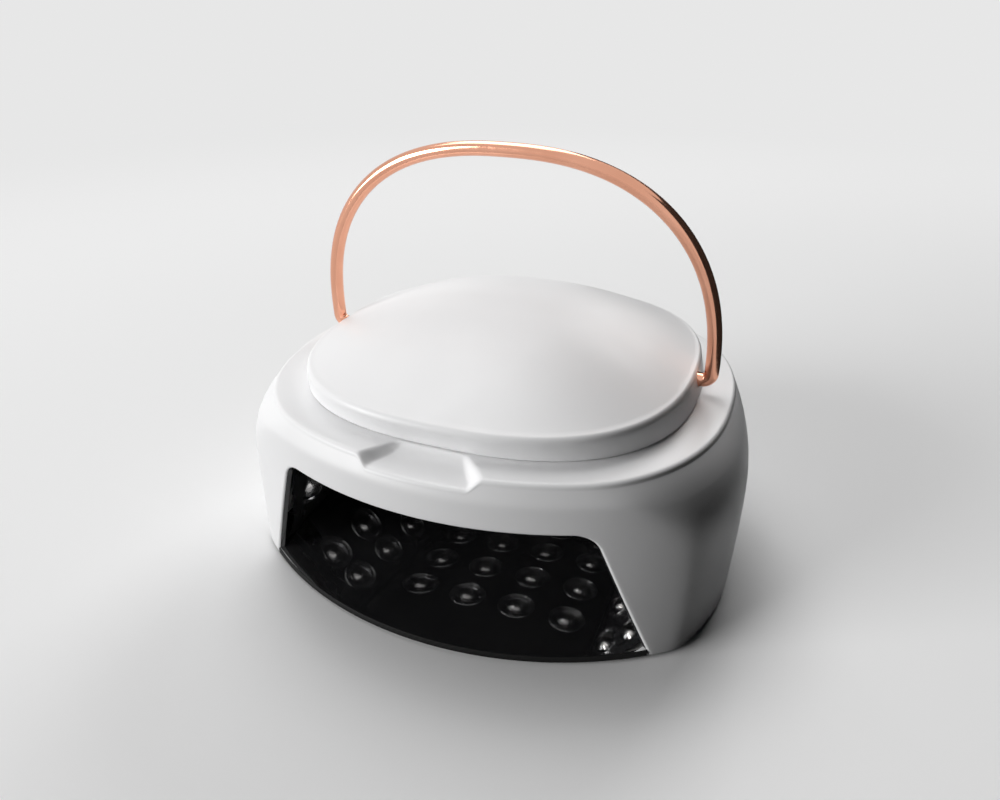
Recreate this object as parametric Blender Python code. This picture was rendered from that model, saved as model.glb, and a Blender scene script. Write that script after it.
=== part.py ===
# A led nail lamp with a bail handle, standing on its removable base plate.
# Metres, +Z up. X runs across the lamp, -Y is the front, where the hand goes in.
# The origin is on the surface that the lamp stands on, under the middle of the housing.

import bpy
import bmesh
from math import atan2, cos, pi, radians, sin, sqrt
from mathutils import Matrix, Vector

# Gap kept between pieces that touch on the real lamp
seat_gap = 0.0003
# How far a cutter runs past the face that it cuts
overrun = 0.002
# How far a corner may stand off the plane of a face that counts as flat
flat_tolerance = 0.0000001

# Housing shell: a rounded body on a near-elliptical plan
shell_half_width = 0.1150
shell_front_depth = 0.0920
shell_back_depth = 0.1175
shell_centre_back = -0.0170
shell_wall = 0.0026
belly_height = 0.0478
rim_side_draw = 0.0019
rim_front_depth = 0.1153
rim_back_draw = 0.0041
belly_front_power = 2.13
belly_back_power = 2.1
rim_front_power = 1.83
ledge_power = 2.41
shoulder_power = 2.7
corner_softness = 150.0

# Ledge round the top cover
ledge_half_width = 0.1019
ledge_half_depth = 0.0971
ledge_height = 0.0854
ledge_edge_radius = 0.0012
ledge_inner_overlap = 0.0085
ledge_thickness = 0.0062

# Front face: part of an upright cylinder, drawn in above the face's top edge
front_radius = 0.1577
front_reach = 0.1005
front_top_height = 0.0770

# Arched hand opening in the front face
opening_top_height = 0.0650
opening_top_draw = 0.0478
opening_foot_draw = 0.0255
opening_top_half_width = shell_half_width - opening_top_draw
opening_foot_half_width = shell_half_width - opening_foot_draw
opening_corner_radius = 0.0110

# Finger scoop in the ledge, under the folded handle: it deepens and widens outwards
notch_depth = 0.0042
notch_inner_half_width = 0.0120
notch_outer_half_width = 0.0240
notch_end_run = 0.0036
notch_shares = (0.0, 0.08, 0.22, 0.42, 0.70, 1.0)
notch_power = 4.0
shell_lower_share = 0.5
shell_rise_shares = (0.30, 0.55, 0.75, 0.90)
shell_inner_shares = (1.0, 0.80, 0.50)

# Top cover: a soft dome over a short side wall
cover_half_width = 0.0868
cover_half_depth = 0.0851
cover_power = 2.52
cover_edge_height = 0.0967
cover_foot_half_width = 0.0889
cover_foot_half_depth = 0.0812
cover_crown = 0.0224
crown_power = 2.16
crown_roundness = 1.16
crown_shift_back = 0.0053
cover_edge_radius = 0.0008
cover_wall = 0.0022
cover_hole_reach = 0.0070
dome_shares = (0.95, 0.88, 0.78, 0.66, 0.52, 0.36, 0.18)
dome_inner_shares = (1.0, 0.85, 0.62, 0.32)

# Handle: a round bar bent to an arch, with its ends turned in as pivots
bar_radius = 0.0031
arch_half_width = 0.0926
arch_height = 0.0925
arch_power = 2.42
pivot_height = 0.0925
pivot_back = 0.0034
bar_bend_radius = 0.0040
pin_end_half_width = 0.0620
handle_lean = radians(4.8)

# Handle bushes, brackets and retaining clips
bush_wall = 0.0018
bush_length = 0.0070
bush_flange_thickness = 0.0012
bush_flange_extra = 0.0016
bracket_face_half_width = 0.0720
bracket_thickness = 0.0040
bracket_half_depth = 0.0110
bracket_foot_length = 0.0120
bracket_foot_thickness = 0.0024
bracket_top_height = 0.0990
clip_thickness = 0.0010
clip_wall = 0.0024

# Deck plate under the ledge, which carries the brackets, battery and main board
deck_thickness = 0.0024
deck_edge_inset = 0.0070
deck_screw_inset = 0.0045

# Screws
screw_radius = 0.0014
screw_head_radius = 0.0027
screw_head_thickness = 0.0016
deck_screw_bite = 0.0028

# Base plate, its feet and its steel discs
foot_height = 0.0010
foot_radius = 0.0070
foot_half_spacing_x = 0.0520
foot_front_y = -0.0680
foot_back_y = 0.0600
plate_thickness = 0.0032
plate_edge_gap = 0.0004
disc_radius = 0.0052
disc_thickness = 0.0010
magnet_radius = 0.0040
magnet_thickness = 0.0025
magnet_side_inset = 0.0150
magnet_half_spacing_x = shell_half_width - magnet_side_inset
magnet_front_y = -0.0340
magnet_back_y = 0.0100

# Inner liner: a tunnel with sloping sides, open at the front and below
liner_wall = 0.0016
liner_foot_clearance = 0.0238
liner_top_clearance = 0.0460
liner_foot_half_width = shell_half_width - liner_foot_clearance
liner_top_half_width = shell_half_width - liner_top_clearance
liner_top_height = 0.0664
liner_fold_radius = 0.0030
liner_side_clearance = 0.0060
liner_softness = 30.0
flat_reach_share = 0.05
liner_back_clearance = 0.0305
liner_back = shell_centre_back + shell_back_depth - liner_back_clearance
flange_thickness = 0.0016

# Led lenses
lens_radius = 0.0072
lens_height = 0.0052
lens_collar_radius = 0.0084
lens_collar_height = 0.0016
lens_window_radius = 0.0104
lens_dome_shares = (0.5, 0.85)
lens_sheet_thickness = 0.0012
lens_sheet_margin = 0.0012
led_board_thickness = 0.0014
ceiling_side_margin = 0.0207
ceiling_back_margin = 0.00875
ceiling_front_setback = 0.06725
ceiling_count_x = 4
ceiling_count_y = 4
ceiling_front_row = ceiling_front_setback - front_reach
ceiling_back_row = liner_back - ceiling_back_margin
ceiling_pitch_x = 2 * (liner_top_half_width - ceiling_side_margin) / (ceiling_count_x - 1)
ceiling_pitch_y = (ceiling_back_row - ceiling_front_row) / (ceiling_count_y - 1)
ceiling_middle_back = (ceiling_back_row + ceiling_front_row) / 2
wall_front_setback = 0.0510
wall_back_margin = 0.0545
wall_count = 3
wall_front_row = wall_front_setback - front_reach
wall_back_row = liner_back - wall_back_margin
wall_pitch_y = (wall_back_row - wall_front_row) / (wall_count - 1)
wall_middle_back = (wall_back_row + wall_front_row) / 2
wall_row_heights = (0.0270, 0.0490)
back_pitch_x = 0.0380
back_count = 3
back_row_height = 0.0360

# Hand sensor pair near the mouth of the tunnel
sensor_radius = 0.0025
sensor_length = 0.0075
sensor_height = 0.0130
sensor_back = -0.0540

# Battery of four cells in a holder
cell_radius = 0.0092
cell_length = 0.0650
cell_pitch = 0.0198
cell_count = 4
battery_middle_back = -0.0160
holder_wall = 0.0016
holder_side_height = 0.0110

# Main board on its pillars
board_half_width = 0.0360
board_half_depth = 0.0140
board_thickness = 0.0016
board_middle_back = 0.0430
pillar_height = 0.0040
pillar_radius = 0.0028
pillar_inset = 0.0050
coil_size = 0.0120
coil_height = 0.0070
connector_length = 0.0160
connector_depth = 0.0060
connector_height = 0.0058

# Rear port panel with two push-buttons and the charging socket
panel_half_width = 0.0260
panel_half_height = 0.0090
panel_corner_radius = 0.0060
panel_thickness = 0.0020
panel_recess = 0.0012
port_pitch = 0.0155
button_radius = 0.0044
button_proud = 0.0010
button_flange_radius = 0.0056
button_flange_thickness = 0.0010
button_edge_radius = 0.0008
button_travel = 0.0010
switch_size = 0.0060
plunger_radius = 0.0016
plunger_length = 0.0012
plunger_root = 0.0008
socket_half_width = 0.0045
socket_half_height = 0.0055
socket_depth = 0.0110
socket_bore_radius = 0.0032
socket_bore_depth = 0.0090
socket_pin_radius = 0.0010
socket_pin_length = 0.0080
socket_pin_root = 0.0005
socket_nose_radius = 0.0042
port_board_thickness = 0.0012
port_board_half_width = 0.0255
port_board_half_height = 0.0085
post_radius = 0.0018
post_sink_share = 0.5

# Faces round the pieces
side_span_steps = 30
front_span_steps = 22
corner_span_steps = 10
corner_span_low = radians(-37.0)
corner_span_high = radians(-19.0)
cover_steps = 56
round_steps = 14
lens_steps = 10
head_steps = 12
pin_steps = 10
hole_steps = 8
bar_steps = 48
bend_steps = 4
outline_corner_steps = 4
opening_corner_steps = 6
panel_columns = 10
panel_rows = 4
liner_side_steps = 6
liner_back_steps = 10
liner_front_steps = 12
liner_corner_steps = 7
liner_front_low = radians(-50.0)
liner_front_high = radians(-27.0)
liner_back_low = radians(30.0)
liner_back_high = radians(62.0)


def clear_scene():
    for thing in list(bpy.data.objects):
        bpy.data.objects.remove(thing, do_unlink=True)


def make_material(name, colour, roughness, metallic=0.0):
    material = bpy.data.materials.new(name)
    material.use_nodes = True
    shader = material.node_tree.nodes["Principled BSDF"]
    shader.inputs["Base Color"].default_value = (*colour, 1.0)
    shader.inputs["Roughness"].default_value = roughness
    shader.inputs["Metallic"].default_value = metallic
    return material


def split_warped(mesh_work):
    """Splits the faces that aren't flat into triangles, so that cutters meet plain faces."""
    warped = []
    for face in mesh_work.faces:
        start = face.verts[0].co
        if max(abs((vert.co - start).dot(face.normal)) for vert in face.verts) > flat_tolerance:
            warped.append(face)
    bmesh.ops.triangulate(mesh_work, faces=warped)


def finish_mesh(name, mesh_work, material, sharp=radians(40.0)):
    """Closed mesh with its faces pointing out, shaded smooth up to the sharp angle."""
    bmesh.ops.recalc_face_normals(mesh_work, faces=mesh_work.faces)
    split_warped(mesh_work)
    mesh = bpy.data.meshes.new(name)
    mesh_work.to_mesh(mesh)
    mesh_work.free()
    mesh.shade_smooth()
    mesh.set_sharp_from_angle(angle=sharp)
    mesh.materials.append(material)
    thing = bpy.data.objects.new(name, mesh)
    bpy.context.scene.collection.objects.link(thing)
    return thing


def loft(name, rings, material, low_tip=None, high_tip=None, closed_loop=False):
    """Skin over rings of equal count, closed by tips, flat ends or back to the first ring."""
    work = bmesh.new()
    rows = [[work.verts.new(point) for point in ring] for ring in rings]
    count = len(rows[0])
    pairs = list(zip(rows, rows[1:]))
    if closed_loop:
        pairs.append((rows[-1], rows[0]))
    for lower, upper in pairs:
        for i in range(count):
            j = (i + 1) % count
            work.faces.new((lower[i], lower[j], upper[j], upper[i]))
    if not closed_loop:
        for row, tip in ((rows[0], low_tip), (rows[-1], high_tip)):
            if tip is None:
                work.faces.new(row)
            else:
                point = work.verts.new(tip)
                for i in range(count):
                    work.faces.new((row[i], row[(i + 1) % count], point))
    return finish_mesh(name, work, material)


def circle(radius, height, steps=round_steps):
    angles = [2 * pi * i / steps for i in range(steps)]
    return [(radius * cos(angle), radius * sin(angle), height) for angle in angles]


def turned(name, profile, material, steps=round_steps, bored=False):
    """Round piece about its own Z from (radius, height) pairs; a bored one closes back on itself."""
    rings = [circle(radius, height, steps) for radius, height in profile]
    return loft(name, rings, material, closed_loop=bored)


def prism(name, outline, low, high, material):
    """Upright prism on an outline of (x, y) points."""
    rings = [[(x, y, z) for x, y in outline] for z in (low, high)]
    return loft(name, rings, material)


def box(name, low, high, material):
    outline = [(low[0], low[1]), (high[0], low[1]), (high[0], high[1]), (low[0], high[1])]
    return prism(name, outline, low[2], high[2], material)


def rounded_outline(half_width, half_height, radius):
    """Rounded rectangle, its corners as arcs."""
    points = []
    for quarter in range(4):
        middle_x = (half_width - radius) * (1 if quarter in (0, 3) else -1)
        middle_y = (half_height - radius) * (1 if quarter in (0, 1) else -1)
        for i in range(outline_corner_steps + 1):
            angle = pi / 2 * (quarter + i / outline_corner_steps)
            points.append((middle_x + radius * cos(angle), middle_y + radius * sin(angle)))
    return points


def hidden(thing):
    thing.hide_render = True
    thing.display_type = "WIRE"
    return thing


def combine(target, other, operation):
    """Live Boolean with a hidden tool piece."""
    modifier = target.modifiers.new(operation.lower() + "_" + other.name, "BOOLEAN")
    modifier.operation = operation
    modifier.solver = "EXACT"
    modifier.object = hidden(other)
    return target


def cut(target, other):
    return combine(target, other, "DIFFERENCE")


def add(target, other):
    return combine(target, other, "UNION")


def placed(thing, location, turn_about=None, angle=0.0):
    turn = Matrix.Rotation(angle, 4, turn_about) if turn_about else Matrix.Identity(4)
    thing.matrix_world = Matrix.Translation(Vector(location)) @ turn
    return thing


# Section curves

def oval_radius(angle, half_width, half_depth, power):
    """Distance from the middle of an oval to its edge, in one direction."""
    across = abs(cos(angle)) / half_width
    along = abs(sin(angle)) / half_depth
    return (across ** power + along ** power) ** (-1 / power)


def plan_radius(angle, plan, inset=0.0):
    """The same for a plan whose front and back halves have depths and powers of their own."""
    half_width, front, back, middle = plan
    half_depth, power = front if sin(angle) < 0 else back
    return oval_radius(angle, half_width - inset, half_depth - inset, power)


front_centre_back = front_radius - front_reach


def front_distance(angle, middle_back, radius):
    """Distance from (0, middle_back) to the front cylinder's wall, in one direction."""
    offset = middle_back - front_centre_back
    along = offset * sin(angle)
    return -along + sqrt(along * along - offset * offset + radius * radius)


def soft_least(distances, softness):
    """The least of some distances, with the corner between them rounded."""
    return sum(distance ** -softness for distance in distances) ** (-1 / softness)


def span(start, stop, steps):
    return [start + (stop - start) * i / steps for i in range(steps)]


body_angles = (
    span(corner_span_high, pi - corner_span_high, side_span_steps)
    + span(pi - corner_span_high, pi - corner_span_low, corner_span_steps)
    + span(pi - corner_span_low, 2 * pi + corner_span_low, front_span_steps)
    + span(2 * pi + corner_span_low, 2 * pi + corner_span_high, corner_span_steps)
)


liner_angles = (
    span(liner_front_high, liner_back_low, liner_side_steps)
    + span(liner_back_low, liner_back_high, liner_corner_steps)
    + span(liner_back_high, pi - liner_back_high, liner_back_steps)
    + span(pi - liner_back_high, pi - liner_back_low, liner_corner_steps)
    + span(pi - liner_back_low, pi - liner_front_high, liner_side_steps)
    + span(pi - liner_front_high, pi - liner_front_low, liner_corner_steps)
    + span(pi - liner_front_low, 2 * pi + liner_front_low, liner_front_steps)
    + span(2 * pi + liner_front_low, 2 * pi + liner_front_high, liner_corner_steps)
)


def mix(start, stop, share):
    return start + (stop - start) * share


def shell_plan(height):
    """Half width, front and back (depth, power) and middle of the shell's plan at a height."""
    if height <= belly_height:
        share = sin(pi / 2 * height / belly_height)
        return (
            mix(shell_half_width - rim_side_draw, shell_half_width, share),
            (mix(rim_front_depth, shell_front_depth, share), mix(rim_front_power, belly_front_power, share)),
            (mix(shell_back_depth - rim_back_draw, shell_back_depth, share), belly_back_power),
            shell_centre_back,
        )
    share = ((height - belly_height) / (ledge_height - belly_height)) ** shoulder_power
    return (
        mix(shell_half_width, ledge_half_width, share),
        (mix(shell_front_depth, ledge_half_depth, share), mix(belly_front_power, ledge_power, share)),
        (mix(shell_back_depth, ledge_half_depth, share), mix(belly_back_power, ledge_power, share)),
        mix(shell_centre_back, 0.0, share),
    )


def face_radius(height):
    """Radius of the front face, which draws in to the ledge above its top edge."""
    rise = max(0.0, height - front_top_height) / (ledge_height - front_top_height)
    return front_radius - (front_reach - ledge_half_depth) * rise


def shell_section(height, inset=0.0, level=None, angles=None):
    """The shell's plan at a height, drawn in by an inset, as a ring of points."""
    plan = shell_plan(height)
    middle = plan[-1]
    points = []
    for angle in angles or body_angles:
        side = plan_radius(angle, plan, inset)
        front = front_distance(angle, middle, face_radius(height) - inset)
        reach = soft_least((side, front), corner_softness)
        points.append((reach * cos(angle), middle + reach * sin(angle), height if level is None else level))
    return points


def shell_back(x, height):
    """Y of the shell's outside at its back."""
    half_width, front, back, middle = shell_plan(height)
    half_depth, power = back
    return middle + half_depth * (1 - (abs(x) / half_width) ** power) ** (1 / power)


def ledge_section(inset, height):
    return [
        (reach * cos(angle), reach * sin(angle), height)
        for angle in body_angles
        for reach in (oval_radius(angle, ledge_half_width - inset, ledge_half_depth - inset, ledge_power),)
    ]


rim_height = foot_height + seat_gap
plate_top = rim_height + plate_thickness
liner_foot = plate_top + seat_gap
ledge_underside = ledge_height - ledge_thickness
hole_inset = ledge_half_width - cover_foot_half_width + ledge_inner_overlap


def opening_outline():
    """Half-arch outline in X and Z: sloping sides, rounded top corners, open below."""
    rise = opening_top_height - plate_top
    slope = Vector((opening_top_half_width - opening_foot_half_width, rise)).normalized()
    turn_angle = atan2(slope.y, slope.x)
    middle_x = opening_top_half_width - opening_corner_radius * sin(turn_angle) / (1 - cos(turn_angle))
    middle_z = opening_top_height - opening_corner_radius
    foot = Vector((opening_foot_half_width, plate_top)) - slope * (plate_top + overrun) / slope.y
    right = [(foot.x, foot.y)]
    for i in range(opening_corner_steps + 1):
        angle = mix(turn_angle - pi / 2, pi / 2, i / opening_corner_steps)
        across = opening_corner_radius * cos(angle)
        right.append((middle_x + across, middle_z + opening_corner_radius * sin(angle)))
    return right + [(-x, z) for x, z in reversed(right)]


def through_front(name, outline, near, far, material):
    """Prism of an X-Z outline running along Y."""
    rings = [[(x, y, z) for x, z in outline] for y in (near, far)]
    return loft(name, rings, material)


# Materials

white_plastic = make_material("white_plastic", (0.83, 0.83, 0.84), 0.45)
black_gloss = make_material("black_gloss", (0.008, 0.008, 0.010), 0.08)
plate_black = make_material("plate_black", (0.006, 0.006, 0.008), 0.04)
rose_metal = make_material("rose_metal", (0.86, 0.50, 0.38), 0.16, 1.0)
lens_clear = make_material("lens_clear", (0.20, 0.20, 0.22), 0.05)
grey_plastic = make_material("grey_plastic", (0.30, 0.30, 0.31), 0.50)
nylon = make_material("nylon", (0.72, 0.70, 0.66), 0.45)
steel = make_material("steel", (0.60, 0.60, 0.61), 0.30, 1.0)
magnet_nickel = make_material("magnet_nickel", (0.66, 0.65, 0.62), 0.22, 1.0)
board_green = make_material("board_green", (0.02, 0.14, 0.07), 0.45)
board_white = make_material("board_white", (0.70, 0.70, 0.70), 0.50)
rubber_black = make_material("rubber_black", (0.02, 0.02, 0.02), 0.80)
cell_wrap = make_material("cell_wrap", (0.05, 0.16, 0.36), 0.35)
button_grey = make_material("button_grey", (0.62, 0.62, 0.63), 0.40)
socket_black = make_material("socket_black", (0.015, 0.015, 0.016), 0.45)


# Screw places

def deck_screw_places():
    reach_x = ledge_half_width - hole_inset + deck_screw_inset
    reach_y = ledge_half_depth - hole_inset + deck_screw_inset
    places = []
    for i in range(4):
        angle = pi / 4 + pi / 2 * i
        reach = oval_radius(angle, reach_x, reach_y, ledge_power)
        places.append((reach * cos(angle), reach * sin(angle)))
    return places


deck_top = ledge_underside - seat_gap
deck_bottom = deck_top - deck_thickness


def outer_shell():
    """Moulded shell: side wall, front face with the hand opening, shoulder and ledge."""
    lower = [rim_height, mix(rim_height, belly_height, shell_lower_share), belly_height]
    upper = [mix(belly_height, front_top_height, share) for share in shell_rise_shares]
    edge_low = ledge_height - ledge_edge_radius
    shoulder = [front_top_height, (front_top_height + ledge_height) / 2, edge_low]
    rings = [shell_section(height) for height in lower + upper + shoulder]
    edge_cut = ledge_edge_radius * (1 - sin(pi / 4))
    rings.append(ledge_section(edge_cut, ledge_height - edge_cut))
    rings.append(ledge_section(ledge_edge_radius, ledge_height))
    rings.append(ledge_section(hole_inset, ledge_height))
    rings.append(ledge_section(hole_inset, ledge_underside))
    inner = [mix(belly_height, ledge_underside, share) for share in shell_inner_shares]
    for height in inner + [belly_height, mix(rim_height, belly_height, shell_lower_share), rim_height]:
        rings.append(shell_section(height, shell_wall))
    shell = loft("outer_shell", rings, white_plastic, closed_loop=True)
    reach = front_reach + overrun
    mouth = through_front("cut_mouth", opening_outline(), -reach, -front_centre_back, white_plastic)
    cut(shell, mouth)
    cut(shell, notch_tool())
    window = panel_tool("cut_panel_window", seat_gap)
    cut(shell, window)
    for i, (x, y) in enumerate(deck_screw_places()):
        hole = screw_hole(f"cut_shell_screw_{i + 1}", deck_bottom, deck_top + deck_screw_bite + seat_gap)
        cut(shell, placed(hole, (x, y, 0.0)))
    return shell


def screw_hole(name, low, high):
    reach = screw_radius + seat_gap
    return turned(name, [(reach, low), (reach, high)], steel, hole_steps)


def notch_tool():
    """Scoop with sloping ends, whose floor curves down from the cover's foot to the shoulder."""
    inner_y = -(cover_foot_half_depth + 2 * seat_gap)
    outer_y = -ledge_half_depth
    rings = []
    for share in notch_shares:
        y = mix(inner_y, outer_y, share)
        depth = seat_gap + (notch_depth - seat_gap) * (1 - (1 - share) ** notch_power)
        floor = mix(notch_inner_half_width, notch_outer_half_width, share)
        rings.append(notch_section(y, floor, depth))
    rings.append(notch_section(-(front_reach + overrun), notch_outer_half_width, notch_depth))
    return loft("cut_notch", rings, white_plastic)


def notch_section(y, floor, depth):
    wide = floor + notch_end_run
    top = ledge_height + overrun
    right = [(floor, y, ledge_height - depth), (wide, y, ledge_height), (wide, y, top)]
    return right + [(-x, y, z) for x, y, z in reversed(right)]


def top_cover():
    """Dome with a short side wall; the pivots pass through round holes in the wall."""
    def outer(share, height, inset=0.0, rise=0.0):
        half_width = mix(cover_foot_half_width, cover_half_width, rise) - inset
        half_depth = mix(cover_foot_half_depth, cover_half_depth, rise) - inset
        shift = crown_shift_back * (1 - share)
        ring = []
        for i in range(cover_steps):
            angle = 2 * pi * i / cover_steps
            reach = share * oval_radius(angle, half_width, half_depth, cover_power)
            ring.append((reach * cos(angle), shift + reach * sin(angle), height))
        return ring

    def dome_height(share):
        return cover_edge_height + cover_crown * (1 - share ** crown_power) ** crown_roundness

    foot = ledge_height + seat_gap
    rings = [outer(1.0, foot), outer(1.0, cover_edge_height - cover_edge_radius, rise=1.0)]
    edge_share = 1 - cover_edge_radius / cover_half_width
    for share in (edge_share, *dome_shares):
        rings.append(outer(share, dome_height(share), rise=1.0))
    rings.reverse()
    inner = [outer(1.0, foot, cover_wall)]
    for share in dome_inner_shares:
        inner.append(outer(share, dome_height(share) - cover_wall, cover_wall, 1.0))
    crown = dome_height(0.0)
    cover = loft("top_cover", rings + inner, white_plastic, low_tip=(0.0, crown_shift_back, crown),
                 high_tip=(0.0, crown_shift_back, crown - cover_wall))
    reach = bar_radius + seat_gap
    for side, word in ((-1, "left"), (1, "right")):
        hole = drum(f"cut_cover_{word}", reach, -cover_hole_reach, cover_hole_reach, white_plastic)
        start = cover_half_width - cover_wall
        cut(cover, placed(hole, (side * start, pivot_back, pivot_height), "Y", side * pi / 2))
    return cover


def handle_points():
    """Middle line of the bar from one pivot end to the other, upright, from the pivot axis."""
    half = []
    straight_top = bar_bend_radius
    arch_rise = arch_height - straight_top
    for i in range(bar_steps // 2 + 1):
        angle = pi / 2 * i / (bar_steps // 2)
        across = arch_half_width * cos(angle) ** (2 / arch_power)
        half.append((across, straight_top + arch_rise * sin(angle) ** (2 / arch_power)))
    bend_middle = arch_half_width - bar_bend_radius
    bend = [(bend_middle + bar_bend_radius * sin(pi / 2 * i / bend_steps),
             straight_top - bar_bend_radius * cos(pi / 2 * i / bend_steps)) for i in range(bend_steps)]
    right = [(pin_end_half_width, 0.0)] + bend + half
    return right + [(-x, z) for x, z in reversed(right[:-1])]


def handle():
    curve = bpy.data.curves.new("handle", "CURVE")
    curve.dimensions = "3D"
    curve.bevel_depth = bar_radius
    curve.bevel_resolution = 3
    curve.use_fill_caps = True
    points = handle_points()
    spline = curve.splines.new("POLY")
    spline.points.add(len(points) - 1)
    for point, (x, z) in zip(spline.points, points):
        point.co = (x, 0.0, z, 1.0)
    spline.use_smooth = True
    curve.materials.append(rose_metal)
    bar = bpy.data.objects.new("handle", curve)
    bpy.context.scene.collection.objects.link(bar)
    bar.location = (0.0, pivot_back, pivot_height)
    bar.rotation_euler = (handle_lean, 0.0, 0.0)
    return bar


def mirrored(thing, side):
    if side < 0:
        thing.data.transform(Matrix.Scale(-1.0, 4, (1, 0, 0)))
        thing.data.flip_normals()
    return thing


def handle_mounting(side, word):
    """Bracket, bush and retaining clip of one pivot."""
    across = side * pi / 2
    inner_face = bracket_face_half_width - bracket_thickness
    foot_low = deck_top + seat_gap
    foot_top = foot_low + bracket_foot_thickness
    foot_inner = inner_face - bracket_foot_length
    front = pivot_back - bracket_half_depth
    back = pivot_back + bracket_half_depth
    upright = ((inner_face, front, foot_low), (bracket_face_half_width, back, bracket_top_height))
    plate = mirrored(box(f"handle_bracket_{word}", *upright, steel), side)
    lap = ((foot_inner, front, foot_low), (inner_face + bracket_thickness / 2, back, foot_top))
    add(plate, mirrored(box(f"add_foot_{word}", *lap, steel), side))
    bore = bar_radius + seat_gap
    bush_outer = bore + bush_wall
    hole_radius = bush_outer + seat_gap
    hole = drum(f"cut_bracket_{word}", hole_radius, -overrun, bracket_thickness + overrun, steel)
    cut(plate, placed(hole, (side * inner_face, pivot_back, pivot_height), "Y", across))
    for i, y in enumerate(bracket_screw_rows()):
        hole = screw_hole(f"cut_foot_{word}_{i + 1}", foot_low - overrun, foot_top + overrun)
        cut(plate, placed(hole, (side * bracket_screw_x(), y, 0.0)))
    flange = bush_outer + bush_flange_extra
    flange_low = bush_length - bush_flange_thickness
    start = bracket_face_half_width + seat_gap - flange_low
    profile = [(bore, 0.0), (bush_outer, 0.0), (bush_outer, flange_low), (flange, flange_low)]
    profile += [(flange, bush_length), (bore, bush_length)]
    bush = turned(f"handle_bush_{word}", profile, nylon, bored=True)
    placed(bush, (side * start, pivot_back, pivot_height), "Y", across)
    clip_start = start - seat_gap - clip_thickness
    edge = bore + clip_wall
    profile = [(bore, 0.0), (edge, 0.0), (edge, clip_thickness), (bore, clip_thickness)]
    clip = turned(f"handle_clip_{word}", profile, steel, bored=True)
    placed(clip, (side * clip_start, pivot_back, pivot_height), "Y", across)


def bracket_screw_rows():
    reach = bracket_half_depth - 2 * screw_head_radius
    return (pivot_back - reach, pivot_back + reach)


def bracket_screw_x():
    return bracket_face_half_width - bracket_thickness - bracket_foot_length / 2 - screw_head_radius / 2


def deck_plate():
    """Plate that closes the shell's top from below, with pillars for the main board."""
    inset = hole_inset - deck_edge_inset
    outline = [(x, y) for x, y, height in ledge_section(inset, 0.0)]
    deck = prism("deck_plate", outline[::2], deck_bottom, deck_top, grey_plastic)
    places = deck_screw_places()
    places += [(side * bracket_screw_x(), y) for side in (-1, 1) for y in bracket_screw_rows()]
    for i, (x, y) in enumerate(places):
        hole = screw_hole(f"cut_deck_{i + 1}", deck_bottom - overrun, deck_top + overrun)
        cut(deck, placed(hole, (x, y, 0.0)))
    pillar_x = board_half_width - pillar_inset
    pillar_y = board_half_depth - pillar_inset
    profile = [(pillar_radius, deck_top - deck_thickness / 2), (pillar_radius, deck_top + pillar_height)]
    for i, (x, y) in enumerate(((-1, -1), (1, -1), (1, 1), (-1, 1))):
        pillar = turned(f"add_pillar_{i + 1}", profile, grey_plastic, pin_steps)
        add(deck, placed(pillar, (x * pillar_x, board_middle_back + y * pillar_y, 0.0)))
    return deck


def screws():
    """Screws up through the deck into the ledge, and down through the bracket feet."""
    head_top = deck_bottom - seat_gap
    profile = [(screw_head_radius, head_top - screw_head_thickness), (screw_head_radius, head_top)]
    profile += [(screw_radius, head_top), (screw_radius, deck_top + deck_screw_bite)]
    for i, (x, y) in enumerate(deck_screw_places()):
        placed(turned(f"deck_screw_{i + 1}", profile, steel, head_steps), (x, y, 0.0))
    head_low = deck_top + bracket_foot_thickness + 2 * seat_gap
    profile = [(screw_radius, deck_bottom), (screw_radius, head_low)]
    profile += [(screw_head_radius, head_low), (screw_head_radius, head_low + screw_head_thickness)]
    places = [(side * bracket_screw_x(), y) for side in (-1, 1) for y in bracket_screw_rows()]
    for i, (x, y) in enumerate(places):
        placed(turned(f"bracket_screw_{i + 1}", profile, steel, head_steps), (x, y, 0.0))


def base_outline():
    """Plan of the base plate: inside the shell's rim, and out to the front face in the opening."""
    inset = shell_wall + plate_edge_gap
    tongue = opening_foot_half_width - plate_edge_gap
    ring = shell_section(rim_height, inset)
    rest = [(x, y) for x, y, height in ring if y > shell_centre_back or abs(x) > tongue]
    right = [point for point in rest if point[0] > 0]
    right.sort(key=lambda point: atan2(point[1] - shell_centre_back, point[0]))
    left = [(-x, y) for x, y in reversed(right)]

    def on_front(x, radius):
        return x, front_centre_back - sqrt(radius * radius - x * x)

    steps = front_span_steps
    front = [on_front(tongue * (2 * i / steps - 1), front_radius) for i in range(steps + 1)]
    inner_radius = front_radius - inset
    return front + [on_front(tongue, inner_radius)] + right + left + [on_front(-tongue, inner_radius)]


def foot_places():
    return [(side * foot_half_spacing_x, y) for y in (foot_front_y, foot_back_y) for side in (-1, 1)]


def magnet_places():
    return [(side * magnet_half_spacing_x, y) for y in (magnet_front_y, magnet_back_y) for side in (-1, 1)]


def drum(name, radius, low, high, material):
    return turned(name, [(radius, low), (radius, high)], material)


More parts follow.
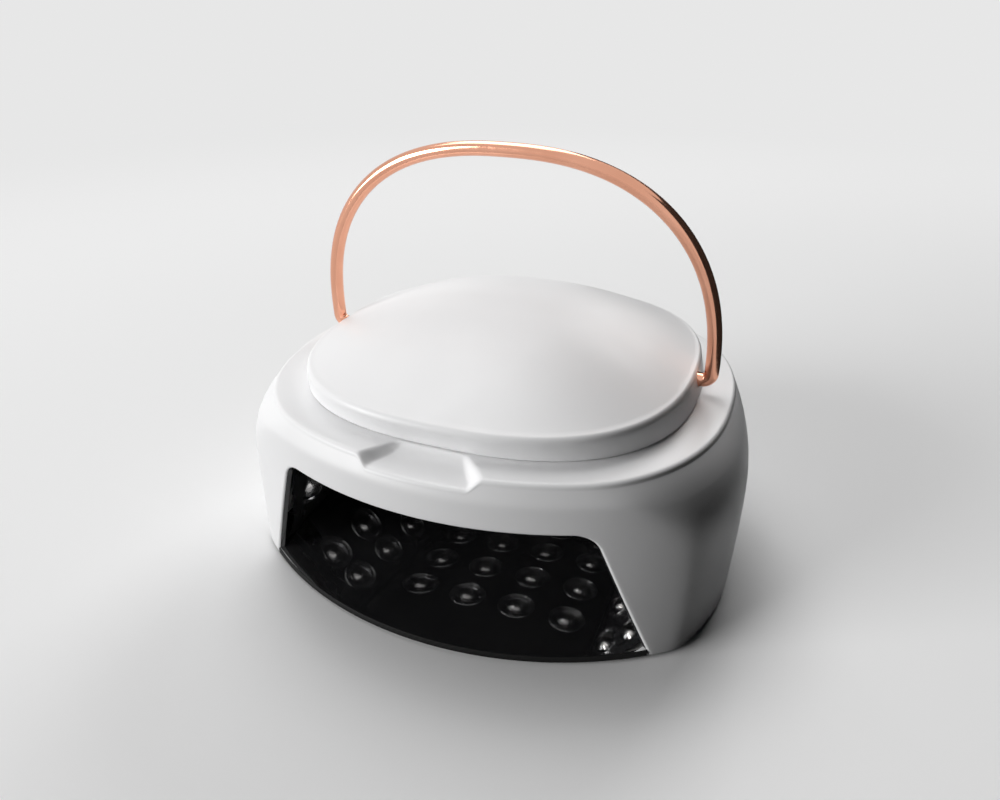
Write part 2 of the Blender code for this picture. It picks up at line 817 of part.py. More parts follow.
def base_plate():
    """Mirror-black plate that the lamp is lifted off, with its feet and steel discs."""
    plate = prism("base_plate", base_outline(), rim_height, plate_top, plate_black)
    disc_top = rim_height + disc_thickness
    magnet_low = liner_foot + flange_thickness + seat_gap
    for i, (x, y) in enumerate(magnet_places()):
        reach = disc_radius + seat_gap
        pocket = drum(f"cut_disc_{i + 1}", reach, rim_height - overrun, disc_top + seat_gap, steel)
        cut(plate, placed(pocket, (x, y, 0.0)))
        placed(drum(f"steel_disc_{i + 1}", disc_radius, rim_height, disc_top, steel), (x, y, 0.0))
        magnet_top = magnet_low + magnet_thickness
        magnet = drum(f"magnet_{i + 1}", magnet_radius, magnet_low, magnet_top, magnet_nickel)
        placed(magnet, (x, y, 0.0))
    for i, (x, y) in enumerate(foot_places()):
        placed(drum(f"rubber_foot_{i + 1}", foot_radius, 0.0, foot_height, rubber_black), (x, y, 0.0))
    return plate


liner_slope = (liner_foot_half_width - liner_top_half_width) / (liner_top_height - liner_foot)
liner_tilt = atan2(liner_slope, 1.0)


def tunnel_half_width(height):
    return liner_foot_half_width - liner_slope * (height - liner_foot)


def tunnel_section(height, grow, level=None, draw_in=0.0):
    """Plan of the tunnel: straight sloping sides, front face and a back that follows the shell."""
    plan = shell_plan(min(height, belly_height))
    middle = plan[-1]
    clearance = shell_wall + liner_side_clearance + liner_wall - grow + draw_in
    limits = [(liner_back + grow - draw_in - middle, 0.0, 1.0)]
    side_reach = tunnel_half_width(height) + grow - draw_in
    limits += [(side_reach, 1.0, 0.0), (side_reach, -1.0, 0.0)]
    front_inset = shell_wall + seat_gap + liner_wall - grow
    points = []
    for angle in liner_angles:
        flats = [reach / (cos(angle) * x + sin(angle) * y) for reach, x, y in limits
                 if cos(angle) * x + sin(angle) * y > flat_reach_share]
        around = plan_radius(angle, plan, clearance)
        front = front_distance(angle, middle, face_radius(height) - front_inset)
        reach = soft_least(flats + [around, front], liner_softness)
        points.append((reach * cos(angle), middle + reach * sin(angle), height if level is None else level))
    return points


def inner_liner():
    """Gloss-black tunnel with a flange below and a window for each lens."""
    top = liner_top_height
    fold = liner_fold_radius
    turn_in = fold * (1 - cos(pi / 4))
    heights = (liner_foot + flange_thickness, belly_height, top - fold)
    rings = [flange_section(liner_foot), flange_section(liner_foot + flange_thickness)]
    rings += [tunnel_section(height, liner_wall) for height in heights]
    rings.append(tunnel_section(top - turn_in + liner_wall, liner_wall, draw_in=turn_in))
    rings.append(tunnel_section(top + liner_wall, liner_wall, draw_in=fold))
    rings.reverse()
    rings += [tunnel_section(height, 0.0) for height in (liner_foot, belly_height, top - fold)]
    rings.append(tunnel_section(top - turn_in, 0.0, draw_in=turn_in))
    rings.append(tunnel_section(top, 0.0, draw_in=fold))
    outside = (0.0, 0.0, top + liner_wall)
    liner = loft("inner_liner", rings, black_gloss, low_tip=outside, high_tip=(0.0, 0.0, top))
    far = -front_centre_back - overrun
    mouth = through_front("cut_liner_mouth", opening_outline(), -(front_reach + overrun), far, black_gloss)
    cut(liner, mouth)
    cut(liner, lens_windows())
    reach = sensor_radius + seat_gap
    for side, word in ((-1, "left"), (1, "right")):
        hole = drum(f"cut_sensor_{word}", reach, -sensor_length, sensor_length, black_gloss)
        cut(liner, placed(hole, sensor_place(side), "Y", pi / 2))
    return liner


def sensor_place(side):
    return side * tunnel_half_width(sensor_height), sensor_back, sensor_height


def flange_section(height):
    inset = shell_wall + seat_gap
    return shell_section(liner_foot, inset, level=height, angles=liner_angles)


def side_frame(side, height, back, outward):
    """Matrix of a lens on a sloping side: its own Z points into the tunnel."""
    normal = Vector((-side * cos(liner_tilt), 0.0, -sin(liner_tilt)))
    along = Vector((0.0, 1.0, 0.0))
    across = along.cross(normal)
    turn = Matrix((across, along, normal)).transposed().to_4x4()
    place = Vector((side * tunnel_half_width(height), back, height)) - normal * outward
    return Matrix.Translation(place) @ turn


def ceiling_places():
    places = []
    for row in range(ceiling_count_y):
        for column in range(ceiling_count_x):
            x = ceiling_pitch_x * (column - (ceiling_count_x - 1) / 2)
            y = ceiling_middle_back + ceiling_pitch_y * (row - (ceiling_count_y - 1) / 2)
            places.append((x, y))
    return places


def wall_places():
    return [(height, wall_middle_back + wall_pitch_y * (i - (wall_count - 1) / 2))
            for height in wall_row_heights for i in range(wall_count)]


def back_places():
    return [back_pitch_x * (i - (back_count - 1) / 2) for i in range(back_count)]


def lens_windows():
    """One tool with a short cylinder for each lens window."""
    work = bmesh.new()
    down = Matrix.Rotation(pi, 4, "X")
    frames = [Matrix.Translation((x, y, liner_top_height)) @ down for x, y in ceiling_places()]
    frames += [side_frame(side, height, back, 0.0) for side in (-1, 1) for height, back in wall_places()]
    upright = Matrix.Rotation(pi / 2, 4, "X")
    frames += [Matrix.Translation((x, liner_back, back_row_height)) @ upright for x in back_places()]
    for matrix in frames:
        ends = (-(liner_wall + overrun), overrun)
        rings = [circle(lens_window_radius, height, lens_steps) for height in ends]
        skin(work, [[matrix @ Vector(point) for point in ring] for ring in rings])
    return finish_mesh("cut_lens_windows", work, black_gloss)


def skin(work, rings, tip=None):
    """Adds a closed skin over rings to a mesh that may hold others, its end flat or at a tip."""
    rows = [[work.verts.new(point) for point in ring] for ring in rings]
    count = len(rows[0])
    for lower, upper in zip(rows, rows[1:]):
        for i in range(count):
            j = (i + 1) % count
            work.faces.new((lower[i], lower[j], upper[j], upper[i]))
    work.faces.new(list(reversed(rows[0])))
    if tip is None:
        work.faces.new(rows[-1])
    else:
        point = work.verts.new(tip)
        for i in range(count):
            work.faces.new((rows[-1][i], rows[-1][(i + 1) % count], point))


def lens_sheet(name, frame, half_size, places):
    """Clear sheet behind the liner with a dome standing through each window, and its led board."""
    low = -lens_sheet_thickness
    half_x, half_y = half_size
    sheet = box(name, (-half_x, -half_y, low), (half_x, half_y, 0.0), lens_clear)
    work = bmesh.new()
    tip = liner_wall + seat_gap + lens_height
    profile = [(lens_collar_radius, low / 2), (lens_collar_radius, lens_collar_height)]
    profile.append((lens_radius, lens_collar_height))
    for share in lens_dome_shares:
        profile.append((lens_radius * sqrt(1 - share * share), mix(lens_collar_height, tip, share)))
    for x, y in places:
        spot = Vector((x, y, 0.0))
        rings = [circle(radius, height, lens_steps) for radius, height in profile]
        skin(work, [[Vector(point) + spot for point in ring] for ring in rings], (x, y, tip))
    domes = finish_mesh("add_domes_" + name, work, lens_clear)
    sheet.matrix_world = frame
    domes.matrix_world = frame
    add(sheet, domes)
    board_low = low - seat_gap - led_board_thickness
    corner = (half_x, half_y, low - seat_gap)
    board = box(name.replace("lens", "board"), (-half_x, -half_y, board_low), corner, board_white)
    board.matrix_world = frame
    return sheet


def lens_sheets():
    reach = lens_window_radius + lens_sheet_margin
    gap = liner_wall + seat_gap
    down = Matrix.Translation((0.0, ceiling_middle_back, liner_top_height + gap))
    down = down @ Matrix.Rotation(pi, 4, "X")
    places = [(x, ceiling_middle_back - y) for x, y in ceiling_places()]
    half_x = ceiling_pitch_x * (ceiling_count_x - 1) / 2 + reach
    half_y = ceiling_pitch_y * (ceiling_count_y - 1) / 2 + reach
    lens_sheet("led_lens_ceiling", down, (half_x, half_y), places)
    middle = (wall_row_heights[0] + wall_row_heights[-1]) / 2
    half_along = wall_pitch_y * (wall_count - 1) / 2 + reach
    rise = (wall_row_heights[-1] - wall_row_heights[0]) / 2 / cos(liner_tilt)
    for side, word in ((-1, "left"), (1, "right")):
        frame = side_frame(side, middle, wall_middle_back, gap)
        inverse = frame.inverted()
        places = []
        for height, back in wall_places():
            spot = inverse @ side_frame(side, height, back, gap).translation
            places.append((spot.x, spot.y))
        lens_sheet(f"led_lens_{word}", frame, (rise + reach, half_along), places)
    back = Matrix.Translation((0.0, liner_back + gap, back_row_height)) @ Matrix.Rotation(pi / 2, 4, "X")
    half_x = back_pitch_x * (back_count - 1) / 2 + reach
    lens_sheet("led_lens_back", back, (half_x, reach), [(x, 0.0) for x in back_places()])


def hand_sensors():
    for side, word in ((-1, "left"), (1, "right")):
        sensor = drum(f"hand_sensor_{word}", sensor_radius, 0.0, sensor_length, black_gloss)
        placed(sensor, sensor_place(side), "Y", side * pi / 2)


def battery():
    """Holder with two end walls, and four cells lying front to back in it."""
    floor_low = deck_top + seat_gap
    floor_top = floor_low + holder_wall
    half_width = cell_pitch * cell_count / 2 + holder_wall
    half_depth = cell_length / 2 + seat_gap + holder_wall
    front = battery_middle_back - half_depth
    back = battery_middle_back + half_depth
    start = (-half_width, front, floor_low)
    holder = box("battery_holder", start, (half_width, back, floor_top), grey_plastic)
    for word, start in (("front", front), ("back", back - holder_wall)):
        wall = box(f"add_holder_{word}", (-half_width, start, floor_low + holder_wall / 2),
                   (half_width, start + holder_wall, floor_top + holder_side_height), grey_plastic)
        add(holder, wall)
    middle_height = floor_top + seat_gap + cell_radius
    for i in range(cell_count):
        x = cell_pitch * (i - (cell_count - 1) / 2)
        cell = drum(f"battery_cell_{i + 1}", cell_radius, -cell_length / 2, cell_length / 2, cell_wrap)
        placed(cell, (x, battery_middle_back, middle_height), "X", pi / 2)


def main_board():
    """Board with a coil and two plug sockets."""
    low = deck_top + pillar_height + seat_gap
    top = low + board_thickness
    root = (low + top) / 2

    def block(name, middle_x, half_x, half_y, bottom, height):
        start = (middle_x - half_x, board_middle_back - half_y, bottom)
        return box(name, start, (middle_x + half_x, board_middle_back + half_y, height), board_green)

    board = block("main_board", 0.0, board_half_width, board_half_depth, low, top)
    add(board, block("add_coil", 0.0, coil_size / 2, coil_size / 2, root, top + coil_height))
    middle = board_half_width - pillar_inset * 2 - connector_length / 2
    for side, word in ((-1, "left"), (1, "right")):
        name = f"add_connector_{word}"
        size = (connector_length / 2, connector_depth / 2)
        add(board, block(name, side * middle, *size, root, top + connector_height))


def panel_tool(name, grow):
    """Rounded block along Y over the port panel."""
    outline = rounded_outline(panel_half_width + grow, panel_half_height + grow, panel_corner_radius + grow)
    outline = [(x, belly_height + z) for x, z in outline]
    far = shell_centre_back + shell_back_depth + overrun
    near = shell_back(panel_half_width, belly_height) - shell_wall * 2 - panel_thickness
    return through_front(name, outline, near, far, white_plastic)


def port_places():
    return {"power": -port_pitch, "timer": 0.0, "socket": port_pitch}


panel_face_y = shell_back(panel_half_width, belly_height) - panel_recess
port_board_face_y = panel_face_y - panel_thickness - socket_depth


def port_panel():
    """Panel sunk in the shell's back, with posts that carry the port board."""
    work = bmesh.new()
    columns = panel_columns
    rows = panel_rows
    reach_x = panel_half_width + overrun
    reach_z = panel_half_height + overrun
    sheets = []
    for depth in (panel_recess, panel_recess + panel_thickness):
        sheet = []
        for j in range(rows + 1):
            z = belly_height + reach_z * (2 * j / rows - 1)
            sheet.append([work.verts.new((x, shell_back(x, z) - depth, z))
                          for x in [reach_x * (2 * i / columns - 1) for i in range(columns + 1)]])
        sheets.append(sheet)
    outer, inner = sheets
    for j in range(rows):
        for i in range(columns):
            work.faces.new((outer[j][i], outer[j][i + 1], outer[j + 1][i + 1], outer[j + 1][i]))
            work.faces.new((inner[j][i], inner[j + 1][i], inner[j + 1][i + 1], inner[j][i + 1]))
    for j in range(rows):
        work.faces.new((outer[j][0], outer[j + 1][0], inner[j + 1][0], inner[j][0]))
        work.faces.new((outer[j][-1], inner[j][-1], inner[j + 1][-1], outer[j + 1][-1]))
    for i in range(columns):
        work.faces.new((outer[0][i], inner[0][i], inner[0][i + 1], outer[0][i + 1]))
        work.faces.new((outer[-1][i], outer[-1][i + 1], inner[-1][i + 1], inner[-1][i]))
    panel = finish_mesh("port_panel", work, grey_plastic)
    combine(panel, panel_tool("keep_panel", 0.0), "INTERSECT")
    post_x = (port_places()["timer"] + port_places()["socket"]) / 2
    post_start = port_board_face_y + seat_gap
    post_end = shell_back(post_x, belly_height) - panel_recess - panel_thickness * post_sink_share
    for side, word in ((-1, "left"), (1, "right")):
        profile = [(post_radius, 0.0), (post_radius, post_end - post_start)]
        post = turned(f"add_post_{word}", profile, grey_plastic, pin_steps)
        add(panel, placed(post, (side * post_x, post_start, belly_height), "X", -pi / 2))
    for word, radius in (("power", button_radius), ("timer", button_radius), ("socket", socket_nose_radius)):
        hole = drum(f"cut_{word}_hole", radius + seat_gap, -panel_half_width, panel_half_width, grey_plastic)
        cut(panel, placed(hole, (port_places()[word], panel_face_y, belly_height), "X", -pi / 2))
    return panel


def push_button(word):
    """Stepped cap, whose flange behind the panel keeps it in, and the switch that it presses."""
    x = port_places()[word]
    outside = shell_back(x, belly_height) - panel_recess
    inside = shell_back(abs(x) + button_flange_radius, belly_height) - panel_recess - panel_thickness
    base = inside - seat_gap - button_flange_thickness
    height = outside + button_proud - base
    profile = [(button_flange_radius, 0.0), (button_flange_radius, button_flange_thickness)]
    profile += [(button_radius, button_flange_thickness), (button_radius, height - button_edge_radius)]
    profile.append((button_radius - button_edge_radius, height))
    placed(turned(f"{word}_button", profile, button_grey), (x, base, belly_height), "X", -pi / 2)
    plunger_end = base - seat_gap - button_travel
    switch_face = plunger_end - plunger_length
    half = switch_size / 2
    start = (x - half, port_board_face_y + seat_gap, belly_height - half)
    switch = box(f"{word}_switch", start, (x + half, switch_face, belly_height + half), socket_black)
    profile = [(plunger_radius, -plunger_root), (plunger_radius, plunger_length)]
    plunger = turned(f"add_plunger_{word}", profile, socket_black, pin_steps)
    add(switch, placed(plunger, (x, switch_face, belly_height), "X", -pi / 2))


def charging_socket():
    """Round jack socket with its middle pin."""
    x = port_places()["socket"]
    back_face = port_board_face_y + seat_gap
    body_face = shell_back(x + socket_half_width, belly_height) - panel_recess - panel_thickness - seat_gap
    nose_face = shell_back(x, belly_height) - panel_recess - panel_thickness / 4
    floor = nose_face - socket_bore_depth
    start = (x - socket_half_width, back_face, belly_height - socket_half_height)
    end = (x + socket_half_width, body_face, belly_height + socket_half_height)
    socket = box("charging_socket", start, end, socket_black)
    nose = drum("add_socket_nose", socket_nose_radius, -overrun, nose_face - body_face, socket_black)
    add(socket, placed(nose, (x, body_face, belly_height), "X", -pi / 2))
    bore = drum("cut_socket_bore", socket_bore_radius, 0.0, socket_bore_depth + overrun, socket_black)
    cut(socket, placed(bore, (x, floor, belly_height), "X", -pi / 2))
    profile = [(socket_pin_radius, -socket_pin_root), (socket_pin_radius, socket_pin_length)]
    pin = turned("add_socket_pin", profile, socket_black, pin_steps)
    add(socket, placed(pin, (x, floor, belly_height), "X", -pi / 2))


def port_board():
    low = port_board_face_y - port_board_thickness
    box("port_board", (-port_board_half_width, low, belly_height - port_board_half_height),
        (port_board_half_width, port_board_face_y, belly_height + port_board_half_height), board_green)


def build():
    clear_scene()
    outer_shell()
    top_cover()
    handle()
    for side, word in ((-1, "left"), (1, "right")):
        handle_mounting(side, word)
    deck_plate()
    screws()
    base_plate()
    inner_liner()
    lens_sheets()
    hand_sensors()
    battery()
    main_board()
    port_panel()
    push_button("power")
    push_button("timer")
    charging_socket()
    port_board()


build()
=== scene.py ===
# Looks of a led nail lamp with a bail handle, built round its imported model.
# Metres, +Z up. X runs across the lamp, and -Y is the front, where the hand goes in.

from math import atan2, cos, exp, hypot, log, pi, radians, sin, sqrt

import bmesh
import bpy
from mathutils import Matrix, Vector


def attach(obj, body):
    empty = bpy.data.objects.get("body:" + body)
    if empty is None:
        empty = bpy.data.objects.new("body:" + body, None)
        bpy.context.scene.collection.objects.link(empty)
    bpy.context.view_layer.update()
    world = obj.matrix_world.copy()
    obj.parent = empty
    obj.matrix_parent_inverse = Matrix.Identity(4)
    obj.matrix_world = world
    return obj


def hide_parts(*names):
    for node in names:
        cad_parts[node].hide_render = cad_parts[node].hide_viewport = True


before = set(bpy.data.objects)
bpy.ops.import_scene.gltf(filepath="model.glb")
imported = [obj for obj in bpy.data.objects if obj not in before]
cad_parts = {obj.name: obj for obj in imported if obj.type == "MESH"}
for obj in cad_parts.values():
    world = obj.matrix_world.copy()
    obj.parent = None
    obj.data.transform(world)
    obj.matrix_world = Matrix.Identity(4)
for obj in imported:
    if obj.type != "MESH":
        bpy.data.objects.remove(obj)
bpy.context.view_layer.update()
print("stage: frame loaded,", len(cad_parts), "nodes")


# Camera, solved from the photograph

camera = {
    "azimuth": radians(21.431),
    "elevation": radians(27.364),
    "roll": radians(-0.267),
    "distance": 0.37062,
    "focalPixels": 792.02,
    "middleColumn": 500.62,
    "middleRow": 393.88,
    "aimBack": -0.01005,
    "aimHeight": 0.07464,
    "imageWidth": 1000,
    "imageHeight": 800,
    "sensorWidth": 36.0,
    "nearest": 0.01,
}


def addCamera():
    azimuth = camera["azimuth"]
    elevation = camera["elevation"]
    back = Vector((sin(azimuth) * cos(elevation), -cos(azimuth) * cos(elevation), sin(elevation)))
    right = Vector((cos(azimuth), sin(azimuth), 0.0))
    up = back.cross(right)
    roll = camera["roll"]
    turnedRight = cos(roll) * right - sin(roll) * up
    turnedUp = sin(roll) * right + cos(roll) * up
    data = bpy.data.cameras.new("camera")
    data.sensor_width = camera["sensorWidth"]
    data.lens = camera["focalPixels"] / camera["imageWidth"] * camera["sensorWidth"]
    data.shift_x = (camera["imageWidth"] / 2 - camera["middleColumn"]) / camera["imageWidth"]
    data.shift_y = (camera["middleRow"] - camera["imageHeight"] / 2) / camera["imageWidth"]
    data.clip_start = camera["nearest"]
    thing = bpy.data.objects.new("camera", data)
    bpy.context.scene.collection.objects.link(thing)
    turn = Matrix((turnedRight, turnedUp, back)).transposed().to_4x4()
    place = Vector((0.0, camera["aimBack"], camera["aimHeight"])) + back * camera["distance"]
    thing.matrix_world = Matrix.Translation(place) @ turn
    bpy.context.scene.camera = thing


# Sizes that the pieces share

shell = {
    "halfWidth": 0.1150,
    "frontDepth": 0.0920,
    "backDepth": 0.1175,
    "centreBack": -0.0170,
    "wall": 0.0026,
    "bellyHeight": 0.0478,
    "rimHalfWidth": 0.1131,
    "rimFrontDepth": 0.1153,
    "rimBackDepth": 0.1134,
    "bellyFrontPower": 2.13,
    "bellyBackPower": 2.1,
    "rimFrontPower": 1.83,
    "ledgePower": 2.41,
    "shoulderPower": 2.7,
    "cornerSoftness": 160.0,
    "ledgeHalfWidth": 0.1019,
    "ledgeHalfDepth": 0.0971,
    "ledgeHeight": 0.0854,
    "ledgeEdge": 0.0019,
    "ledgeThickness": 0.0062,
    "frontRadius": 0.1577,
    "frontReach": 0.1005,
    "frontTop": 0.0770,
    "frontTopBlend": 0.0007,
    "rimHeight": 0.0013,
    "notchInner": 0.0818,
    "notchOuter": 0.0971,
    "notchInnerHalfWidth": 0.0120,
    "notchOuterHalfWidth": 0.0240,
    "notchEndRun": 0.0036,
    "notchLipRun": 0.0064,
    "notchDepth": 0.0042,
    "notchPower": 4.0,
    "mouthFillet": 0.0008,
    "creaseStart": 0.0005,
    "creaseBelow": 0.0030,
    "creaseAbove": 0.0025,
    "creaseEnd": 0.0004,
    "cornerEnd": radians(-14.0),
}

mouth = {
    "topHeight": 0.0650,
    "topHalfWidth": 0.0672,
    "footHalfWidth": 0.0895,
    "cornerRadius": 0.0110,
    "plateTop": 0.0045,
}

cover = {
    "halfWidth": 0.0868,
    "halfDepth": 0.0851,
    "power": 2.52,
    "edgeHeight": 0.0967,
    "footHalfWidth": 0.0889,
    "footHalfDepth": 0.0812,
    "footHeight": 0.0857,
    "crown": 0.0224,
    "crownPower": 2.16,
    "crownRoundness": 1.16,
    "crownShift": 0.0053,
    "edgeRadius": 0.0022,
    "wall": 0.0022,
    "footEase": 0.0004,
    "holeStart": 0.080,
    "holeLength": 0.012,
    "holeClearance": 0.0003,
}

bar = {
    "radius": 0.0031,
    "halfWidth": 0.0926,
    "height": 0.0925,
    "power": 2.42,
    "bend": 0.0040,
    "pinHalfWidth": 0.0620,
    "pivotHeight": 0.0925,
    "pivotBack": 0.0034,
    "lean": radians(4.8),
}


def mix(start, stop, share):
    return start + (stop - start) * share


# Even shares from 0 to 1, or from a later step on.
def shares(steps, first=0):
    return [i / steps for i in range(first, steps + 1)]


def smooth(share):
    share = min(1.0, max(0.0, share))
    return share * share * (3 - 2 * share)


def ovalRadius(angle, halfWidth, halfDepth, power):
    across = abs(cos(angle)) / halfWidth
    along = abs(sin(angle)) / halfDepth
    return (across ** power + along ** power) ** (-1 / power)


# Half width, front and back (depth, power) and middle of the shell's plan at a height.
def shellPlan(height):
    if height <= shell["bellyHeight"]:
        share = sin(pi / 2 * height / shell["bellyHeight"])
        front = (mix(shell["rimFrontDepth"], shell["frontDepth"], share),
                 mix(shell["rimFrontPower"], shell["bellyFrontPower"], share))
        back = (mix(shell["rimBackDepth"], shell["backDepth"], share), shell["bellyBackPower"])
        return mix(shell["rimHalfWidth"], shell["halfWidth"], share), front, back, shell["centreBack"]
    rise = (height - shell["bellyHeight"]) / (shell["ledgeHeight"] - shell["bellyHeight"])
    share = rise ** shell["shoulderPower"]
    front = (mix(shell["frontDepth"], shell["ledgeHalfDepth"], share),
             mix(shell["bellyFrontPower"], shell["ledgePower"], share))
    back = (mix(shell["backDepth"], shell["ledgeHalfDepth"], share),
            mix(shell["bellyBackPower"], shell["ledgePower"], share))
    middle = mix(shell["centreBack"], 0.0, share)
    return mix(shell["halfWidth"], shell["ledgeHalfWidth"], share), front, back, middle


frontCentre = shell["frontRadius"] - shell["frontReach"]
straightFrom = 30.0  # past this the soft bend below is straight


# Radius of the front face, which draws in softly above its top edge.
def faceRadius(height):
    blend = shell["frontTopBlend"]
    rise = (height - shell["frontTop"]) / blend
    lift = blend * (rise if rise > straightFrom else log(1 + exp(rise)))
    draw = (shell["frontReach"] - shell["ledgeHalfDepth"]) / (shell["ledgeHeight"] - shell["frontTop"])
    return shell["frontRadius"] - draw * lift


# Point of the shell's wall in one direction from the middle of its plan.
def shellPoint(angle, height, inset=0.0):
    halfWidth, front, back, middle = shellPlan(height)
    halfDepth, power = front if sin(angle) < 0 else back
    side = ovalRadius(angle, halfWidth - inset, halfDepth - inset, power)
    offset = middle - frontCentre
    along = offset * sin(angle)
    face = -along + sqrt(along * along - offset * offset + (faceRadius(height) - inset) ** 2)
    softness = shell["cornerSoftness"]
    reach = (side ** -softness + face ** -softness) ** (-1 / softness)
    return Vector((reach * cos(angle), middle + reach * sin(angle), height))


# Direction of the point in the front half of the wall that lies at a given X, by halving.
def shellAngle(x, height, inset=0.0, halvings=40):
    low = -pi / 2
    high = 0.0
    for step in range(halvings):
        guess = (low + high) / 2
        if shellPoint(guess, height, inset).x < x:
            low = guess
        else:
            high = guess
    return (low + high) / 2


def shellBack(x, height):
    halfWidth, front, back, middle = shellPlan(height)
    halfDepth, power = back
    return middle + halfDepth * (1 - (abs(x) / halfWidth) ** power) ** (1 / power)


# Turn about an axis, then a move to a place.
def placed(place, turn=0.0, axis="X"):
    return Matrix.Translation(place) @ Matrix.Rotation(turn, 4, axis)


# Meshes

plainEdge = radians(35.0)  # faces that meet at a sharper angle keep a hard edge
roundEdge = radians(50.0)
lensEdge = radians(60.0)
plateEdge = radians(30.0)


# Object from mesh work, smooth up to the sharp angle.
def newPiece(name, work, finish, sharp=plainEdge):
    bmesh.ops.recalc_face_normals(work, faces=work.faces)
    mesh = bpy.data.meshes.new(name)
    work.to_mesh(mesh)
    work.free()
    mesh.shade_smooth()
    mesh.set_sharp_from_angle(angle=sharp)
    mesh.materials.append(materials[finish])
    thing = bpy.data.objects.new(name, mesh)
    bpy.context.scene.collection.objects.link(thing)
    return thing


# Says which body a piece rides on, and the node that it stands for, if any.
def dress(piece, body, node=None):
    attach(piece, body)
    if node:
        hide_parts(node)


# Quads over rings of points, each ring closed on itself.
def skin(work, rings, closedRows=False, lowTip=None, highTip=None, lowCap=False, highCap=False):
    rows = [[work.verts.new(point) for point in ring] for ring in rings]
    count = len(rows[0])
    pairs = list(zip(rows, rows[1:]))
    if closedRows:
        pairs.append((rows[-1], rows[0]))
    for lower, upper in pairs:
        for i in range(count):
            j = (i + 1) % count
            work.faces.new((lower[i], lower[j], upper[j], upper[i]))
    for row, tip, cap in ((rows[0], lowTip, lowCap), (rows[-1], highTip, highCap)):
        if cap:
            work.faces.new(row)
        elif tip is not None:
            point = work.verts.new(tip)
            for i in range(count):
                work.faces.new((row[i], row[(i + 1) % count], point))
    return rows


def circle(radius, height, steps):
    angles = [2 * pi * i / steps for i in range(steps)]
    return [Vector((radius * cos(angle), radius * sin(angle), height)) for angle in angles]


# Adds a turned shape, closed below by a flat cap and above by a cap or a tip at some height.
def addTurned(work, profile, steps, matrix, tipHeight=None):
    rings = [[matrix @ point for point in circle(radius, height, steps)] for radius, height in profile]
    tip = None if tipHeight is None else matrix @ Vector((0.0, 0.0, tipHeight))
    skin(work, rings, lowCap=True, highCap=tip is None, highTip=tip)


def turnedPiece(name, profile, steps, matrix, finish, tipHeight=None):
    work = bmesh.new()
    addTurned(work, profile, steps, matrix, tipHeight)
    return newPiece(name, work, finish)


# (r, z) points of a round stretch of a profile, angles from +r towards +z.
def arc(middle, radius, start, stop, steps):
    angles = [mix(start, stop, share) for share in shares(steps)]
    return [(middle[0] + radius * cos(angle), middle[1] + radius * sin(angle)) for angle in angles]


sliverFaces = 4
sliverSize = 0.0000002


# Deletes the slivers that a cut can leave loose beside the piece.
def dropSlivers(mesh):
    work = bmesh.new()
    work.from_mesh(mesh)
    bmesh.ops.remove_doubles(work, verts=work.verts, dist=sliverSize)
    bmesh.ops.dissolve_degenerate(work, edges=work.edges, dist=sliverSize)
    seen = set()
    loose = []
    for first in work.faces:
        if first in seen:
            continue
        seen.add(first)
        island = [first]
        for face in island:
            for other in (other for edge in face.edges for other in edge.link_faces):
                if other not in seen:
                    seen.add(other)
                    island.append(other)
        if len(island) <= sliverFaces:
            loose += island
    bmesh.ops.delete(work, geom=loose, context="FACES")
    work.to_mesh(mesh)
    work.free()


# Cuts the tools out of a piece, keeps the evaluated mesh and deletes the tools.
def cutWith(target, tools, sharp=plainEdge):
    for tool in tools:
        modifier = target.modifiers.new("cut", "BOOLEAN")
        modifier.operation = "DIFFERENCE"
        modifier.solver = "EXACT"
        modifier.object = tool
    bpy.context.view_layer.update()
    graph = bpy.context.evaluated_depsgraph_get()
    mesh = bpy.data.meshes.new_from_object(target.evaluated_get(graph))
    old = target.data
    target.modifiers.clear()
    target.data = mesh
    bpy.data.meshes.remove(old)
    dropSlivers(mesh)
    for tool in tools:
        bpy.data.objects.remove(tool, do_unlink=True)
    mesh.shade_smooth()
    mesh.set_sharp_from_angle(angle=sharp)


# Materials

noiseLow = 0.3  # the noise textures lie mostly between these two
noiseHigh = 0.7


def newMaterial(name, colour, roughness, metallic=0.0, **sockets):
    material = bpy.data.materials.new(name)
    material.use_nodes = True
    shader = material.node_tree.nodes["Principled BSDF"]
    shader.inputs["Base Color"].default_value = (*colour, 1.0)
    shader.inputs["Roughness"].default_value = roughness
    shader.inputs["Metallic"].default_value = metallic
    for socket, value in sockets.items():
        shader.inputs[socket].default_value = value
    return material


# Shader node whose sockets each take a plain value or a link from another node's output.
def addNode(tree, kind, sockets):
    node = tree.nodes.new("ShaderNode" + kind)
    for place, value in sockets.items():
        if isinstance(value, bpy.types.NodeSocket):
            tree.links.new(value, node.inputs[place])
        else:
            node.inputs[place].default_value = value
    return node


def linkShader(material, socket, source):
    tree = material.node_tree
    tree.links.new(source, tree.nodes["Principled BSDF"].inputs[socket])


def addNoise(material, scale, detail=3.0, stretch=(1.0, 1.0, 1.0)):
    tree = material.node_tree
    coordinates = addNode(tree, "TexCoord", {})
    mapping = addNode(tree, "Mapping", {"Scale": stretch, "Vector": coordinates.outputs["Object"]})
    noise = addNode(tree, "TexNoise", {"Scale": scale, "Detail": detail, "Vector": mapping.outputs["Vector"]})
    return noise.outputs["Fac"]


def addBump(material, noise, strength, distance):
    bump = addNode(material.node_tree, "Bump", {"Strength": strength, "Distance": distance, "Height": noise})
    linkShader(material, "Normal", bump.outputs["Normal"])


def varyRoughness(material, noise, low, high):
    spread = addNode(material.node_tree, "MapRange", {"From Min": noiseLow, "From Max": noiseHigh,
                                                      "To Min": low, "To Max": high, "Value": noise})
    linkShader(material, "Roughness", spread.outputs["Result"])


